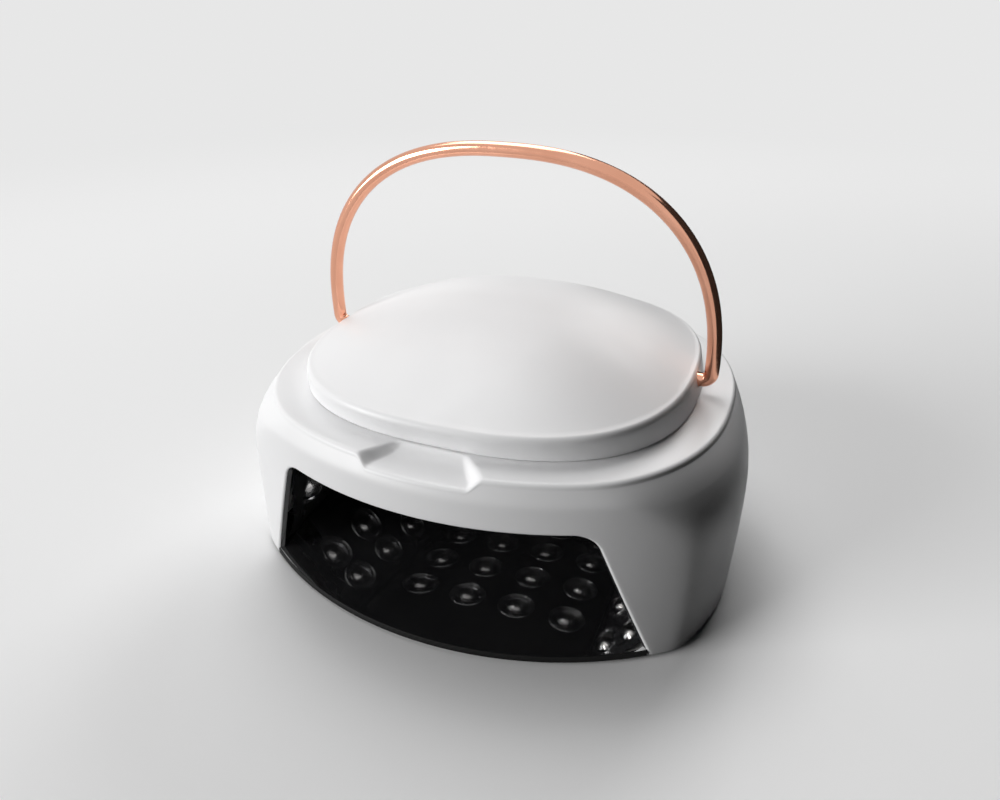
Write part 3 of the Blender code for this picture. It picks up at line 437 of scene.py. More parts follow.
def varyColour(material, noise, dark, light):
    ramp = addNode(material.node_tree, "ValToRGB", {"Fac": noise})
    for stop, place, colour in zip(ramp.color_ramp.elements, (noiseLow, noiseHigh), (dark, light)):
        stop.position = place
        stop.color = (*colour, 1.0)
    linkShader(material, "Base Color", ramp.outputs["Color"])


# Moulded plastic: a fine spark-eroded grain, slow colour drift and uneven gloss.
def mouldedMaterial(name, dark, light, rough, bumpScale=2600.0, **sockets):
    material = newMaterial(name, light, rough, **sockets)
    varyColour(material, addNoise(material, scale=18.0), dark, light)
    varyRoughness(material, addNoise(material, scale=60.0), rough - 0.04, rough + 0.05)
    addBump(material, addNoise(material, bumpScale, detail=2.0), strength=0.35, distance=0.00004)
    return material


# Polished plastic: faint haze in the gloss and a very slight waviness.
def glossMaterial(name, dark, light, rough, **sockets):
    material = newMaterial(name, light, rough, **sockets)
    varyColour(material, addNoise(material, scale=30.0), dark, light)
    varyRoughness(material, addNoise(material, scale=110.0), max(0.01, rough - 0.02), rough + 0.04)
    addBump(material, addNoise(material, scale=45.0, detail=1.0), strength=0.08, distance=0.0001)
    return material


# Plated metal: fine polishing lines that break the gloss a little.
def metalMaterial(name, dark, light, rough, stretch=(1.0, 1.0, 1.0)):
    material = newMaterial(name, light, rough, 1.0)
    varyColour(material, addNoise(material, scale=40.0), dark, light)
    haze = addNoise(material, scale=220.0, detail=4.0, stretch=stretch)
    lines = addNoise(material, scale=900.0, stretch=stretch)
    varyRoughness(material, haze, max(0.02, rough - 0.03), rough + 0.05)
    addBump(material, lines, strength=0.05, distance=0.00003)
    return material


# Circuit board: solder mask with copper lines that show through it as a grid.
def boardMaterial(name, dark, light, rough):
    material = newMaterial(name, light, rough)
    tree = material.node_tree
    mask = (*dark, 1.0)
    bricks = addNode(tree, "TexBrick", {"Scale": 180.0, "Mortar Size": 0.06, "Color1": mask, "Color2": mask,
                                        "Mortar": (*light, 1.0),
                                        "Vector": addNode(tree, "TexCoord", {}).outputs["Object"]})
    linkShader(material, "Base Color", bricks.outputs["Color"])
    varyRoughness(material, addNoise(material, scale=90.0), rough - 0.08, rough + 0.07)
    return material


# Maker of each finish, its dark and light colour, its roughness and what else it is given
finishes = {
    "whiteShell": (mouldedMaterial, (0.845, 0.845, 0.85), (0.87, 0.87, 0.875), 0.40, {}),
    "whiteCover": (mouldedMaterial, (0.845, 0.845, 0.85), (0.87, 0.87, 0.875), 0.42, {}),
    "roseMetal": (metalMaterial, (0.79, 0.38, 0.25), (0.87, 0.44, 0.30), 0.12, {}),
    "linerBlack": (glossMaterial, (0.026, 0.026, 0.028), (0.038, 0.038, 0.040), 0.16, {"IOR": 1.7}),
    "plateBlack": (glossMaterial, (0.012, 0.012, 0.013), (0.017, 0.017, 0.018), 0.03, {"IOR": 4.5}),
    "plateEdge": (mouldedMaterial, (0.002, 0.002, 0.002), (0.004, 0.004, 0.004), 0.55,
                  {"Specular IOR Level": 0.2}),
    "ringBlack": (glossMaterial, (0.050, 0.050, 0.053), (0.075, 0.075, 0.080), 0.14, {"IOR": 3.6}),
    "greyPlastic": (mouldedMaterial, (0.26, 0.26, 0.27), (0.32, 0.32, 0.33), 0.50, {}),
    "panelGrey": (mouldedMaterial, (0.50, 0.50, 0.51), (0.56, 0.56, 0.57), 0.45, {}),
    "buttonWhite": (mouldedMaterial, (0.72, 0.72, 0.73), (0.78, 0.78, 0.79), 0.38, {}),
    "nylon": (mouldedMaterial, (0.66, 0.64, 0.58), (0.76, 0.74, 0.69), 0.45, {}),
    "steel": (metalMaterial, (0.50, 0.50, 0.51), (0.62, 0.62, 0.63), 0.28, {"stretch": (1.0, 6.0, 1.0)}),
    "nickel": (metalMaterial, (0.60, 0.58, 0.54), (0.70, 0.68, 0.64), 0.18, {}),
    "boardGreen": (boardMaterial, (0.012, 0.09, 0.045), (0.03, 0.20, 0.10), 0.38, {}),
    "boardWhite": (boardMaterial, (0.60, 0.60, 0.60), (0.74, 0.74, 0.72), 0.38, {}),
    "rubber": (mouldedMaterial, (0.016, 0.016, 0.017), (0.028, 0.028, 0.030), 0.72, {"bumpScale": 1400.0}),
    "cellWrap": (glossMaterial, (0.03, 0.11, 0.28), (0.05, 0.16, 0.36), 0.30, {}),
    "socketBlack": (mouldedMaterial, (0.012, 0.012, 0.013), (0.020, 0.020, 0.021), 0.42, {}),
    "lens": (glossMaterial, (0.90, 0.90, 0.92), (0.96, 0.96, 0.97), 0.03,
             {"Transmission Weight": 1.0, "IOR": 1.6, "Metallic": 0.06}),
    "chip": (metalMaterial, (0.62, 0.60, 0.58), (0.78, 0.76, 0.73), 0.16, {}),
}
materials = {name: make(name, dark, light, rough, **extras)
             for name, (make, dark, light, rough, extras) in finishes.items()}
print("stage: materials made")


# Outer shell

shellSteps = {
    "fillet": 5,
    "arc": 12,
    "slantedSide": 16,
    "corner": 26,
    "rest": 46,
    "lowRows": 14,
    "creaseRows": 9,
    "highRows": 9,
    "edge": 5,
}
# Start, pitch and count of the columns along the mouth's top, closest where the scoop ramps up
mouthTopRuns = ((0.0, 0.0030, 4), (0.0105, 0.0006, 30), (0.0305, 0.0032, 9))
mouthTopPlaces = [start + pitch * i for start, pitch, count in mouthTopRuns for i in range(count)]
mouthColumnCount = len(mouthTopPlaces) + shellSteps["arc"] + shellSteps["slantedSide"]
ledgeInsets = (0.0028, 0.0040, 0.0054, 0.0068, 0.0080, 0.0092, 0.0103, 0.0113, 0.0122,
               0.0130, 0.0137, 0.0143, 0.0148, 0.0152, 0.0155, 0.0165, 0.0185, 0.0215)
innerRowShares = (0.97, 0.80, 0.50, 0.0)


# X and Z on the mouth's outline, grown outwards. The place is an X along the top, and a share
# of the way along the corner or the side.
def mouthPoint(part, place, grow):
    if part == "top":
        return place, mouth["topHeight"] + grow
    rise = mouth["topHeight"] - mouth["plateTop"]
    slope = Vector((mouth["topHalfWidth"] - mouth["footHalfWidth"], rise)).normalized()
    turn = atan2(slope.y, slope.x)
    radius = mouth["cornerRadius"]
    middleX = mouth["topHalfWidth"] - radius * sin(turn) / (1 - cos(turn))
    middleZ = mouth["topHeight"] - radius
    first = turn - pi / 2
    if part == "corner":
        angle = mix(pi / 2, first, place)
        return middleX + (radius + grow) * cos(angle), middleZ + (radius + grow) * sin(angle)
    startX = middleX + (radius + grow) * cos(first)
    startZ = middleZ + (radius + grow) * sin(first)
    height = mix(startZ, shell["rimHeight"] + grow, place)
    return startX + slope.x / slope.y * (height - startZ), height


# Depth of the scoop in the ledge's front: it deepens outwards and ramps up at both ends.
def notchDrop(x, y):
    share = (-y - shell["notchInner"]) / (shell["notchOuter"] - shell["notchInner"])
    if share <= 0:
        return 0.0
    share = min(1.0, share)
    depth = shell["notchDepth"] * (1 - (1 - share) ** shell["notchPower"])
    run = mix(shell["notchEndRun"], shell["notchLipRun"], share)
    floor = mix(shell["notchInnerHalfWidth"], shell["notchOuterHalfWidth"], share)
    floor -= (run - shell["notchEndRun"]) / 2
    return depth * (1 - smooth((abs(x) - floor) / run))


# Points of one column of the shell, from the deep edge of its wall up and over the ledge.
# lowPoint(grow) gives the direction and height of the wall's lower edge, grown outwards.
def shellColumn(lowPoint, angle):
    fillet = shell["mouthFillet"]
    deepAngle, deepHeight = lowPoint(0.0)
    points = [shellPoint(deepAngle, deepHeight, shell["wall"])]
    for share in shares(shellSteps["fillet"]):
        turn = pi / 2 * (1 - share)
        inset = fillet * (1 - cos(turn))
        turnedAngle, height = lowPoint(fillet * (1 - sin(turn)))
        points.append(shellPoint(turnedAngle, height, inset))
    startAngle, start = lowPoint(fillet)
    lip = shellPoint(angle, shell["ledgeHeight"])
    top = shell["ledgeHeight"] - notchDrop(lip.x, lip.y)
    edge = shell["ledgeEdge"]
    creaseLow = max(start + shell["creaseStart"], shell["frontTop"] - shell["creaseBelow"])
    creaseHigh = min(shell["frontTop"] + shell["creaseAbove"], top - edge - shell["creaseEnd"])
    for low, high, rows in ((start, creaseLow, "lowRows"), (creaseLow, creaseHigh, "creaseRows"),
                            (creaseHigh, top - edge, "highRows")):
        for share in shares(shellSteps[rows], 1):
            height = mix(low, high, share)
            reach = smooth((height - start) / (top - edge - start))
            points.append(shellPoint(mix(startAngle, angle, reach), height))
    rim = shellPoint(angle, top - edge)
    for share in shares(shellSteps["edge"], 1):
        turn = pi / 2 * share
        level = shellPoint(angle, top - edge, edge * (1 - cos(turn)))
        points.append(Vector((level.x, level.y, top - edge * (1 - sin(turn)))))
    direction = atan2(rim.y, rim.x)
    for inset in ledgeInsets:
        reach = ovalRadius(direction, shell["ledgeHalfWidth"] - inset, shell["ledgeHalfDepth"] - inset,
                           shell["ledgePower"])
        x = reach * cos(direction)
        y = reach * sin(direction)
        points.append(Vector((x, y, shell["ledgeHeight"] - notchDrop(x, y))))
    inner = points[-1]
    underside = shell["ledgeHeight"] - shell["ledgeThickness"]
    points.append(Vector((inner.x, inner.y, underside)))
    for share in innerRowShares:
        height = max(deepHeight, mix(shell["bellyHeight"], underside, share))
        points.append(shellPoint(mix(deepAngle, angle, share), height, shell["wall"]))
    return points


# Columns from the middle of the mouth round to the middle of the back, then the mirror.
def shellColumns():
    columns = []

    def mouthColumn(part, place):
        def lowPoint(grow):
            x, height = mouthPoint(part, place, grow)
            return shellAngle(x, height), height
        startAngle = lowPoint(shell["mouthFillet"])[0]
        columns.append(shellColumn(lowPoint, startAngle))
        return startAngle

    def rimColumns(start, stop, steps):
        for share in shares(steps, 1):
            angle = mix(start, stop, share)
            columns.append(shellColumn(lambda grow: (angle, shell["rimHeight"] + grow), angle))

    for place in mouthTopPlaces:
        mouthColumn("top", place)
    for share in shares(shellSteps["arc"]):
        mouthColumn("corner", share)
    for share in shares(shellSteps["slantedSide"], 1):
        last = mouthColumn("side", share)
    rimColumns(last, shell["cornerEnd"], shellSteps["corner"])
    rimColumns(shell["cornerEnd"], pi / 2, shellSteps["rest"])
    mirrored = [[Vector((-point.x, point.y, point.z)) for point in column] for column in columns[-2:0:-1]]
    return columns + mirrored


port = {
    "halfWidth": 0.0260,
    "halfHeight": 0.0090,
    "cornerRadius": 0.0060,
    "thickness": 0.0020,
    "recess": 0.0012,
    "gap": 0.0003,
    "pitch": 0.0155,
    "chamfer": 0.0006,
    "cutInside": 0.080,
    "cutOutside": 0.110,
    "cutOverlap": 0.00005,
    "postRadius": 0.0018,
    "postSink": 0.0002,
    "socketReach": 0.0110,
    "buttonRadius": 0.0044,
    "buttonProud": 0.0010,
    "buttonEdge": 0.0009,
    "buttonDish": 0.00025,
    "flangeRadius": 0.0056,
    "flangeThickness": 0.0010,
    "iconRadius": 0.0019,
    "iconWidth": 0.00017,
    "iconRise": 0.00010,
    "iconSink": 0.7,
    "noseRadius": 0.0042,
    "boreRadius": 0.0032,
    "boreDepth": 0.0090,
    "pinRadius": 0.0010,
    "pinLength": 0.0080,
    "pinMargin": 0.00002,
    "bodyHalfWidth": 0.0045,
    "bodyHalfHeight": 0.0055,
    "bodyCornerRadius": 0.0006,
    "ease": 0.0003,
    "smallEase": 0.0002,
    "middleRadius": 0.0010,
    "steps": 64,
    "postSteps": 24,
    "buttonSteps": 72,
    "edgeSteps": 8,
    "iconArcSteps": 40,
    "iconRingSteps": 48,
    "iconArc": (-50.0, 230.0),
}
portHeight = shell["bellyHeight"]


# Rounded rectangle in X and Z round the origin, with points along its long sides too.
def roundedOutline(halfWidth, halfHeight, radius, cornerSteps=8, sideSteps=6):
    points = []
    for quarter in range(4):
        middleX = (halfWidth - radius) * (1 if quarter in (0, 3) else -1)
        middleZ = (halfHeight - radius) * (1 if quarter in (0, 1) else -1)
        for i in range(cornerSteps + 1):
            angle = pi / 2 * (quarter + i / cornerSteps)
            points.append((middleX + radius * cos(angle), middleZ + radius * sin(angle)))
        if quarter in (0, 2):
            startX, level = points[-1]
            for i in range(1, sideSteps):
                points.append((mix(startX, -startX, i / sideSteps), level))
    return points


# Cutter through the back of the shell, flared at the surface so that the edge is eased.
def portWindowTool():
    rings = []
    for grow, offset, level in ((0.0, None, port["cutInside"]), (0.0, -port["chamfer"], None),
                                (port["chamfer"], port["cutOverlap"], None),
                                (port["chamfer"], None, port["cutOutside"])):
        spread = port["gap"] + grow
        outline = roundedOutline(port["halfWidth"] + spread, port["halfHeight"] + spread,
                                 port["cornerRadius"] + spread)
        ring = []
        for x, z in outline:
            y = level if offset is None else shellBack(x, portHeight + z) + offset
            ring.append(Vector((x, y, portHeight + z)))
        rings.append(ring)
    work = bmesh.new()
    skin(work, rings, lowCap=True, highCap=True)
    return newPiece("portWindowTool", work, "whiteShell")


def outerShell():
    columns = shellColumns()
    work = bmesh.new()
    skin(work, [list(ring) for ring in zip(*columns)], closedRows=True)
    work.faces.ensure_lookup_table()
    for i in range(len(columns)):
        if min(i, len(columns) - 1 - i) < mouthColumnCount:
            work.faces[i].material_index = 1
    piece = newPiece("shell_skin", work, "whiteShell", roundEdge)
    piece.data.materials.append(materials["linerBlack"])
    cutWith(piece, [portWindowTool()], roundEdge)
    dress(piece, "housing", "outer_shell")


# Top cover

coverSteps = {"round": 160, "dome": 26, "edge": 8, "wall": 6, "hole": 32}
tipShare = 0.0015  # of the dome's area, inside its first ring
innerDomeShares = (0.85, 0.6, 0.3, 0.05)


def coverRing(share, height, rise, inset=0.0):
    halfWidth = mix(cover["footHalfWidth"], cover["halfWidth"], rise) - inset
    halfDepth = mix(cover["footHalfDepth"], cover["halfDepth"], rise) - inset
    shift = cover["crownShift"] * (1 - share)
    ring = []
    for i in range(coverSteps["round"]):
        angle = 2 * pi * i / coverSteps["round"]
        reach = share * ovalRadius(angle, halfWidth, halfDepth, cover["power"])
        ring.append(Vector((reach * cos(angle), shift + reach * sin(angle), height)))
    return ring


def domeHeight(share):
    rise = (1 - share ** cover["crownPower"]) ** cover["crownRoundness"]
    return cover["edgeHeight"] + cover["crown"] * rise


def topCover():
    edge = cover["edgeRadius"]
    wall = cover["wall"]
    edgeShare = 1 - edge / cover["halfWidth"]
    rings = []
    for area in shares(coverSteps["dome"]):
        share = edgeShare * sqrt(mix(tipShare, 1.0, area))
        rings.append(coverRing(share, domeHeight(share), 1.0))
    shoulder = domeHeight(edgeShare)
    low = cover["footHeight"]
    high = cover["edgeHeight"] - edge
    for step in shares(coverSteps["edge"], 1):
        turn = pi / 2 * step
        share = edgeShare + (1 - edgeShare) * sin(turn)
        rings.append(coverRing(share, shoulder - (shoulder - high) * (1 - cos(turn)), 1.0))
    for share in shares(coverSteps["wall"], 1):
        rings.append(coverRing(1.0, mix(high, low + cover["footEase"], share), 1 - share))
    rings.append(coverRing(1.0, low, 0.0, cover["footEase"]))
    rings.append(coverRing(1.0, low, 0.0, wall))
    rings.append(coverRing(1.0, cover["edgeHeight"] - wall, 1.0, wall))
    for share in innerDomeShares:
        rings.append(coverRing(share, domeHeight(share) - wall, 1.0, wall))
    work = bmesh.new()
    crown = domeHeight(0.0)
    skin(work, rings, lowTip=(0.0, cover["crownShift"], crown),
         highTip=(0.0, cover["crownShift"], crown - wall))
    piece = newPiece("cover_skin", work, "whiteCover", roundEdge)
    reach = bar["radius"] + cover["holeClearance"]
    profile = [(reach, 0.0), (reach, cover["holeLength"])]
    tools = []
    for side in (-1, 1):
        matrix = placed((side * cover["holeStart"], bar["pivotBack"], bar["pivotHeight"]), side * pi / 2, "Y")
        tools.append(turnedPiece("coverHoleTool", profile, coverSteps["hole"], matrix, "whiteCover"))
    cutWith(piece, tools, roundEdge)
    dress(piece, "housing", "top_cover")


# Handle

barSteps = {"arch": 60, "bend": 12, "pin": 4, "round": 32}


# Middle line of the bar, upright, from the pivot axis: its right half from the pin up, then the left.
def barLine():
    bend = bar["bend"]
    middle = bar["halfWidth"] - bend
    line = []
    for share in shares(barSteps["pin"])[:-1]:
        line.append(Vector((mix(bar["pinHalfWidth"], middle, share), 0.0, 0.0)))
    for share in shares(barSteps["bend"])[:-1]:
        turn = pi / 2 * share
        line.append(Vector((middle + bend * sin(turn), 0.0, bend * (1 - cos(turn)))))
    for share in shares(barSteps["arch"]):
        turn = pi / 2 * share
        line.append(Vector((bar["halfWidth"] * cos(turn) ** (2 / bar["power"]), 0.0,
                            bend + (bar["height"] - bend) * sin(turn) ** (2 / bar["power"]))))
    return line + [Vector((-point.x, 0.0, point.z)) for point in reversed(line[:-1])]


def handleBar():
    line = barLine()
    across = Vector((0.0, 1.0, 0.0))
    turns = [2 * pi * k / barSteps["round"] for k in range(barSteps["round"])]
    rings = []
    for i, point in enumerate(line):
        along = (line[min(len(line) - 1, i + 1)] - line[max(0, i - 1)]).normalized()
        out = along.cross(across)
        rings.append([point + bar["radius"] * (cos(turn) * across + sin(turn) * out) for turn in turns])
    work = bmesh.new()
    skin(work, rings, lowCap=True, highCap=True)
    piece = newPiece("handle_bar", work, "roseMetal", roundEdge)
    piece.matrix_world = placed((0.0, bar["pivotBack"], bar["pivotHeight"]), bar["lean"])
    dress(piece, "handle", "handle")


# Base plate

plate = {
    "low": 0.0013,
    "top": 0.0045,
    "edgeGap": 0.0004,
    "edge": 0.0005,
    "edgeShare": 0.3,
    "frontSteps": 60,
    "sideSteps": 70,
    "pocketRadius": 0.0055,
    "pocketBottom": -0.001,
    "pocketTop": 0.0026,
    "pocketSteps": 48,
    "pocketPlaces": [(side * 0.1000, y) for y in (-0.0340, 0.0100) for side in (-1, 1)],
    "levelFrom": 0.999,
}


# Plan of the base plate: out to the front face in the mouth, inside the rim elsewhere.
def plateOutline(inset):
    tongue = mouth["footHalfWidth"] - plate["edgeGap"] - inset
    wallInset = shell["wall"] + plate["edgeGap"] + inset
    outer = shell["frontRadius"] - inset
    points = []
    for share in shares(plate["frontSteps"]):
        x = tongue * (2 * share - 1)
        points.append((x, frontCentre - sqrt(outer * outer - x * x)))
    start = shellAngle(tongue, plate["low"], wallInset)
    for share in shares(plate["sideSteps"]):
        angle = mix(start, pi - start, share)
        point = shellPoint(angle, plate["low"], wallInset)
        points.append((point.x, point.y))
    return points


def basePlate():
    edge = plate["edge"]
    ease = edge * plate["edgeShare"]
    rings = []
    for inset, height in ((edge, plate["low"]), (0.0, plate["low"] + edge), (0.0, plate["top"] - edge),
                          (ease, plate["top"] - ease), (edge, plate["top"])):
        rings.append([Vector((x, y, height)) for x, y in plateOutline(inset)])
    work = bmesh.new()
    skin(work, rings, lowCap=True, highCap=True)
    piece = newPiece("plate_skin", work, "plateBlack", plateEdge)
    profile = [(plate["pocketRadius"], plate["pocketBottom"]), (plate["pocketRadius"], plate["pocketTop"])]
    pockets = [turnedPiece("discPocketTool", profile, plate["pocketSteps"], placed((x, y, 0.0)), "plateBlack")
               for x, y in plate["pocketPlaces"]]
    cutWith(piece, pockets, plateEdge)
    piece.data.materials.append(materials["plateEdge"])
    for face in piece.data.polygons:
        if face.normal.z < plate["levelFrom"]:
            face.material_index = 1
    dress(piece, "base", "base_plate")


foot = {
    "radius": 0.0070,
    "height": 0.0010,
    "edge": 0.0003,
    "middleRadius": 0.0010,
    "grooveRadius": 0.0052,
    "grooveDepth": 0.00025,
    "grooveHalfWidth": 0.0006,
    "grooveFloorHalfWidth": 0.0004,
    "steps": 64,
    "places": [(side * 0.0520, y) for y in (-0.0680, 0.0600) for side in (-1, 1)],
}


# Rubber foot: eased edge above, and a shallow ring groove in the face that it stands on.
def rubberFoot(number, x, y):
    radius = foot["radius"]
    edge = foot["edge"]
    groove = foot["grooveRadius"]
    wide = foot["grooveHalfWidth"]
    narrow = foot["grooveFloorHalfWidth"]
    profile = [(foot["middleRadius"], 0.0), (groove - wide, 0.0), (groove - narrow, foot["grooveDepth"]),
               (groove + narrow, foot["grooveDepth"]), (groove + wide, 0.0), (radius - edge, 0.0),
               (radius, edge), (radius, foot["height"] - edge), (radius - edge, foot["height"])]
    piece = turnedPiece(f"rubber_pad_{number}", profile, foot["steps"], placed((x, y, 0.0)), "rubber")
    dress(piece, "base", f"rubber_foot_{number}")


# Charging port, power button and timer button in the back

portPlaces = {"power": -port["pitch"], "timer": 0.0, "socket": port["pitch"]}
portHoleRadii = {"power": port["buttonRadius"], "timer": port["buttonRadius"], "socket": port["noseRadius"]}
portHoleShape = ((0.0, -0.006), (0.0, -0.0004), (0.0003, -0.0001), (0.0006, 0.0010))  # growth and depth
panelEase = ((0.0, 0.0005), (0.0001, 0.0002), (0.0004, 0.0))  # inset and depth of the front's edge
panelFrontShares = (0.97, 0.9, 0.8, 0.7, 0.6, 0.5, 0.4, 0.3, 0.2, 0.1)
panelBackShares = (0.1, 0.3, 0.5, 0.7, 0.85)
dishShares = (0.92, 0.8, 0.6, 0.4, 0.2)
panelBack = port["recess"] + port["thickness"]
portBoardFace = shellBack(port["halfWidth"], portHeight) - panelBack - port["socketReach"]


# Matrix of something in the port: its Z points out of the lamp's back.
def portFrame(x, y):
    return placed((x, y, portHeight), -pi / 2)


def portPanel():
    rims = []
    for inset, depth in ((0.0, port["thickness"]),) + panelEase:
        rims.append((roundedOutline(port["halfWidth"] - inset, port["halfHeight"] - inset,
                                    port["cornerRadius"] - inset), port["recess"] + depth))
    shrunk = []
    for sizes, (outline, depth) in ((panelBackShares, rims[0]), (panelFrontShares, rims[-1])):
        shrunk.append([([(x * size, z * size) for x, z in outline], depth) for size in sizes])
    rows = [[Vector((x, shellBack(x, portHeight + z) - depth, portHeight + z)) for x, z in outline]
            for outline, depth in shrunk[0] + rims + shrunk[1]]
    middle = shellBack(0.0, portHeight)
    work = bmesh.new()
    skin(work, rows, lowTip=(0.0, middle - panelBack, portHeight),
         highTip=(0.0, middle - port["recess"], portHeight))
    piece = newPiece("panel_skin", work, "panelGrey")
    tools = []
    for word, radius in portHoleRadii.items():
        x = portPlaces[word]
        profile = [(radius + port["gap"] + grow, depth) for grow, depth in portHoleShape]
        matrix = portFrame(x, shellBack(x, portHeight) - port["recess"])
        tools.append(turnedPiece("portHoleTool", profile, port["steps"], matrix, "panelGrey"))
    cutWith(piece, tools)
    dress(piece, "housing", "port_panel")
    postX = port["pitch"] / 2
    start = portBoardFace + port["gap"]
    reach = shellBack(postX, portHeight) - panelBack + port["postSink"] - start
    posts = bmesh.new()
    for side in (-1, 1):
        addTurned(posts, [(port["postRadius"], 0.0), (port["postRadius"], reach)], port["postSteps"],
                  portFrame(side * postX, start))
    dress(newPiece("panel_posts", posts, "panelGrey"), "housing")


# Raised strip along a flat line of (x, y) points, from the cap's top.
def iconStrip(work, matrix, line, closed=False):
    half = port["iconWidth"]
    rise = port["iconRise"]
    section = ((-half, -rise), (-half, rise * 0.7), (-half * 0.6, rise), (half * 0.6, rise),
               (half, rise * 0.7), (half, -rise))
    rings = []
    for i, (x, y) in enumerate(line):
        before = line[i - 1] if i or closed else line[i]
        after = line[(i + 1) % len(line)] if closed or i + 1 < len(line) else line[i]
        along = Vector((after[0] - before[0], after[1] - before[1])).normalized()
        rings.append([matrix @ Vector((x - along.y * place, y + along.x * place, height))
                      for place, height in section])
    skin(work, rings, closedRows=closed, lowCap=not closed, highCap=not closed)


# Lines of each button's symbol in shares of its radius: an arc with a bar, and a ring with two hands.
def iconLines(word):
    if word == "power":
        turns = [radians(mix(*port["iconArc"], share)) for share in shares(port["iconArcSteps"])]
        inner = [(0.0, -1.15), (0.0, -0.25)]
    else:
        turns = [2 * pi * share for share in shares(port["iconRingSteps"])[:-1]]
        inner = [(0.0, -0.7), (0.0, 0.0), (-0.5, 0.0)]
    return [(cos(turn), sin(turn)) for turn in turns], inner


def pushButton(word):
    x = portPlaces[word]
    outside = shellBack(x, portHeight) - port["recess"]
    inside = shellBack(abs(x) + port["flangeRadius"], portHeight) - panelBack
    rim = port["flangeThickness"]
    base = inside - port["gap"] - rim
    height = outside + port["buttonProud"] - base
    radius = port["buttonRadius"]
    edge = port["buttonEdge"]
    dish = port["buttonDish"]
    profile = [(port["middleRadius"], 0.0), (port["flangeRadius"], 0.0), (port["flangeRadius"], rim),
               (radius, rim)]
    profile += arc((radius - edge, height - edge), edge, 0.0, pi / 2, port["edgeSteps"])
    profile += [((radius - edge) * share, height - dish * (1 - share ** 2)) for share in dishShares]
    matrix = portFrame(x, base)
    piece = turnedPiece(f"{word}_cap", profile, port["buttonSteps"], matrix, "buttonWhite", height - dish)
    dress(piece, f"{word}_button", f"{word}_button")
    top = matrix @ Matrix.Translation((0.0, 0.0, height - dish * port["iconSink"]))
    icon = bmesh.new()
    for line, closed in zip(iconLines(word), (word == "timer", False)):
        iconStrip(icon, top, [(port["iconRadius"] * x, port["iconRadius"] * y) for x, y in line], closed)
    dress(newPiece(f"{word}_icon", icon, "greyPlastic"), f"{word}_button")


def chargingSocket():
    x = portPlaces["socket"]
    ease = port["ease"]
    small = port["smallEase"]
    back = portBoardFace + port["gap"]
    front = shellBack(x + port["bodyHalfWidth"], portHeight) - panelBack - port["gap"]
    nose = shellBack(x, portHeight) - port["recess"] - port["thickness"] / 4
    floor = nose - port["boreDepth"]
    outline = roundedOutline(port["bodyHalfWidth"], port["bodyHalfHeight"], port["bodyCornerRadius"], 4, 4)
    rings = []
    for inset, y in ((small, back), (0.0, back + small), (0.0, front - small), (small, front)):
        share = 1 - inset / port["bodyHalfWidth"]
        rings.append([Vector((x + across * share, y, portHeight + up * share)) for across, up in outline])
    work = bmesh.new()
    skin(work, rings, lowCap=True, highCap=True)
    body = newPiece("socket_body", work, "socketBlack")
    outer = port["noseRadius"]
    profile = [(outer - small, floor - 2 * small), (outer - small, front + port["thickness"])]
    cutWith(body, [turnedPiece("socketHoleTool", profile, port["steps"], portFrame(x, 0.0), "socketBlack")])
    dress(body, "housing", "charging_socket")
    bore = port["boreRadius"]
    pin = port["pinRadius"]
    tip = floor + port["pinLength"]
    profile = [(outer - ease, floor - ease), (outer - ease, front), (outer, front), (outer, nose - ease),
               (outer - ease, nose), (bore + ease, nose), (bore, nose - ease), (bore, floor), (pin, floor),
               (pin, tip - 2 * small), (pin * 0.7, tip - small / 2), (pin * 0.3, tip)]
    barrel = turnedPiece("socket_barrel", profile, port["steps"], portFrame(x, 0.0), "socketBlack")
    barrel.data.materials.append(materials["nickel"])
    for face in barrel.data.polygons:
        place = face.center
        if hypot(place.x - x, place.z - portHeight) < pin + port["pinMargin"] and place.y > floor + small / 2:
            face.material_index = 1
    dress(barrel, "housing")


# Lenses

lens = {
    "radius": 0.0072,
    "height": 0.0052,
    "foot": 0.0002,
    "seatRadius": 0.0084,
    "seatDepth": 0.0016,
    "windowRadius": 0.0104,
    "windowGap": 0.0002,
    "ringRadius": 0.0116,
    "ringRise": 0.0013,
    "ringFoot": 0.00002,
    "bodyDepth": 0.0024,
    "cupRadius": 0.0048,
    "cupDepth": 0.0022,
    "emitterRadius": 0.0042,
    "emitterHeight": 0.0036,
    "emitterDepth": 0.0021,
    "emitterSteps": 24,
    "emitterRows": 7,
    "domeRows": 9,
    "steps": 36,
    "ceilingPitchX": 0.0322,
    "ceilingPitchY": 0.0315,
    "ceilingCount": 4,
    "ceilingMiddle": 0.0140,
    "wallPitch": 0.0325,
    "wallCount": 3,
    "wallMiddle": -0.0170,
    "wallHeights": (0.0270, 0.0490),
    "backPitch": 0.0380,
    "backCount": 3,
    "backHeight": 0.0360,
}
# Inset and share of the rise along the seat's rounded lip, from outside to inside
ringLip = ((0.0, 0.0), (0.0001, 0.6), (0.0004, 0.93), (0.0009, 1.0), (0.0014, 0.85), (0.0018, 0.4))
cupShape = ((0.0006, -0.0006), (0.0, -0.0009), (0.0, -0.0017))  # growth past the dome's seat, and height
liner = {"footHalfWidth": 0.0912, "topHalfWidth": 0.0690, "foot": 0.0048, "top": 0.0664, "back": 0.0700}
linerSlope = (liner["footHalfWidth"] - liner["topHalfWidth"]) / (liner["top"] - liner["foot"])


# Places in a row, from its middle, pitch and count.
def rowPlaces(middle, pitch, count):
    return [middle + pitch * (i - (count - 1) / 2) for i in range(count)]


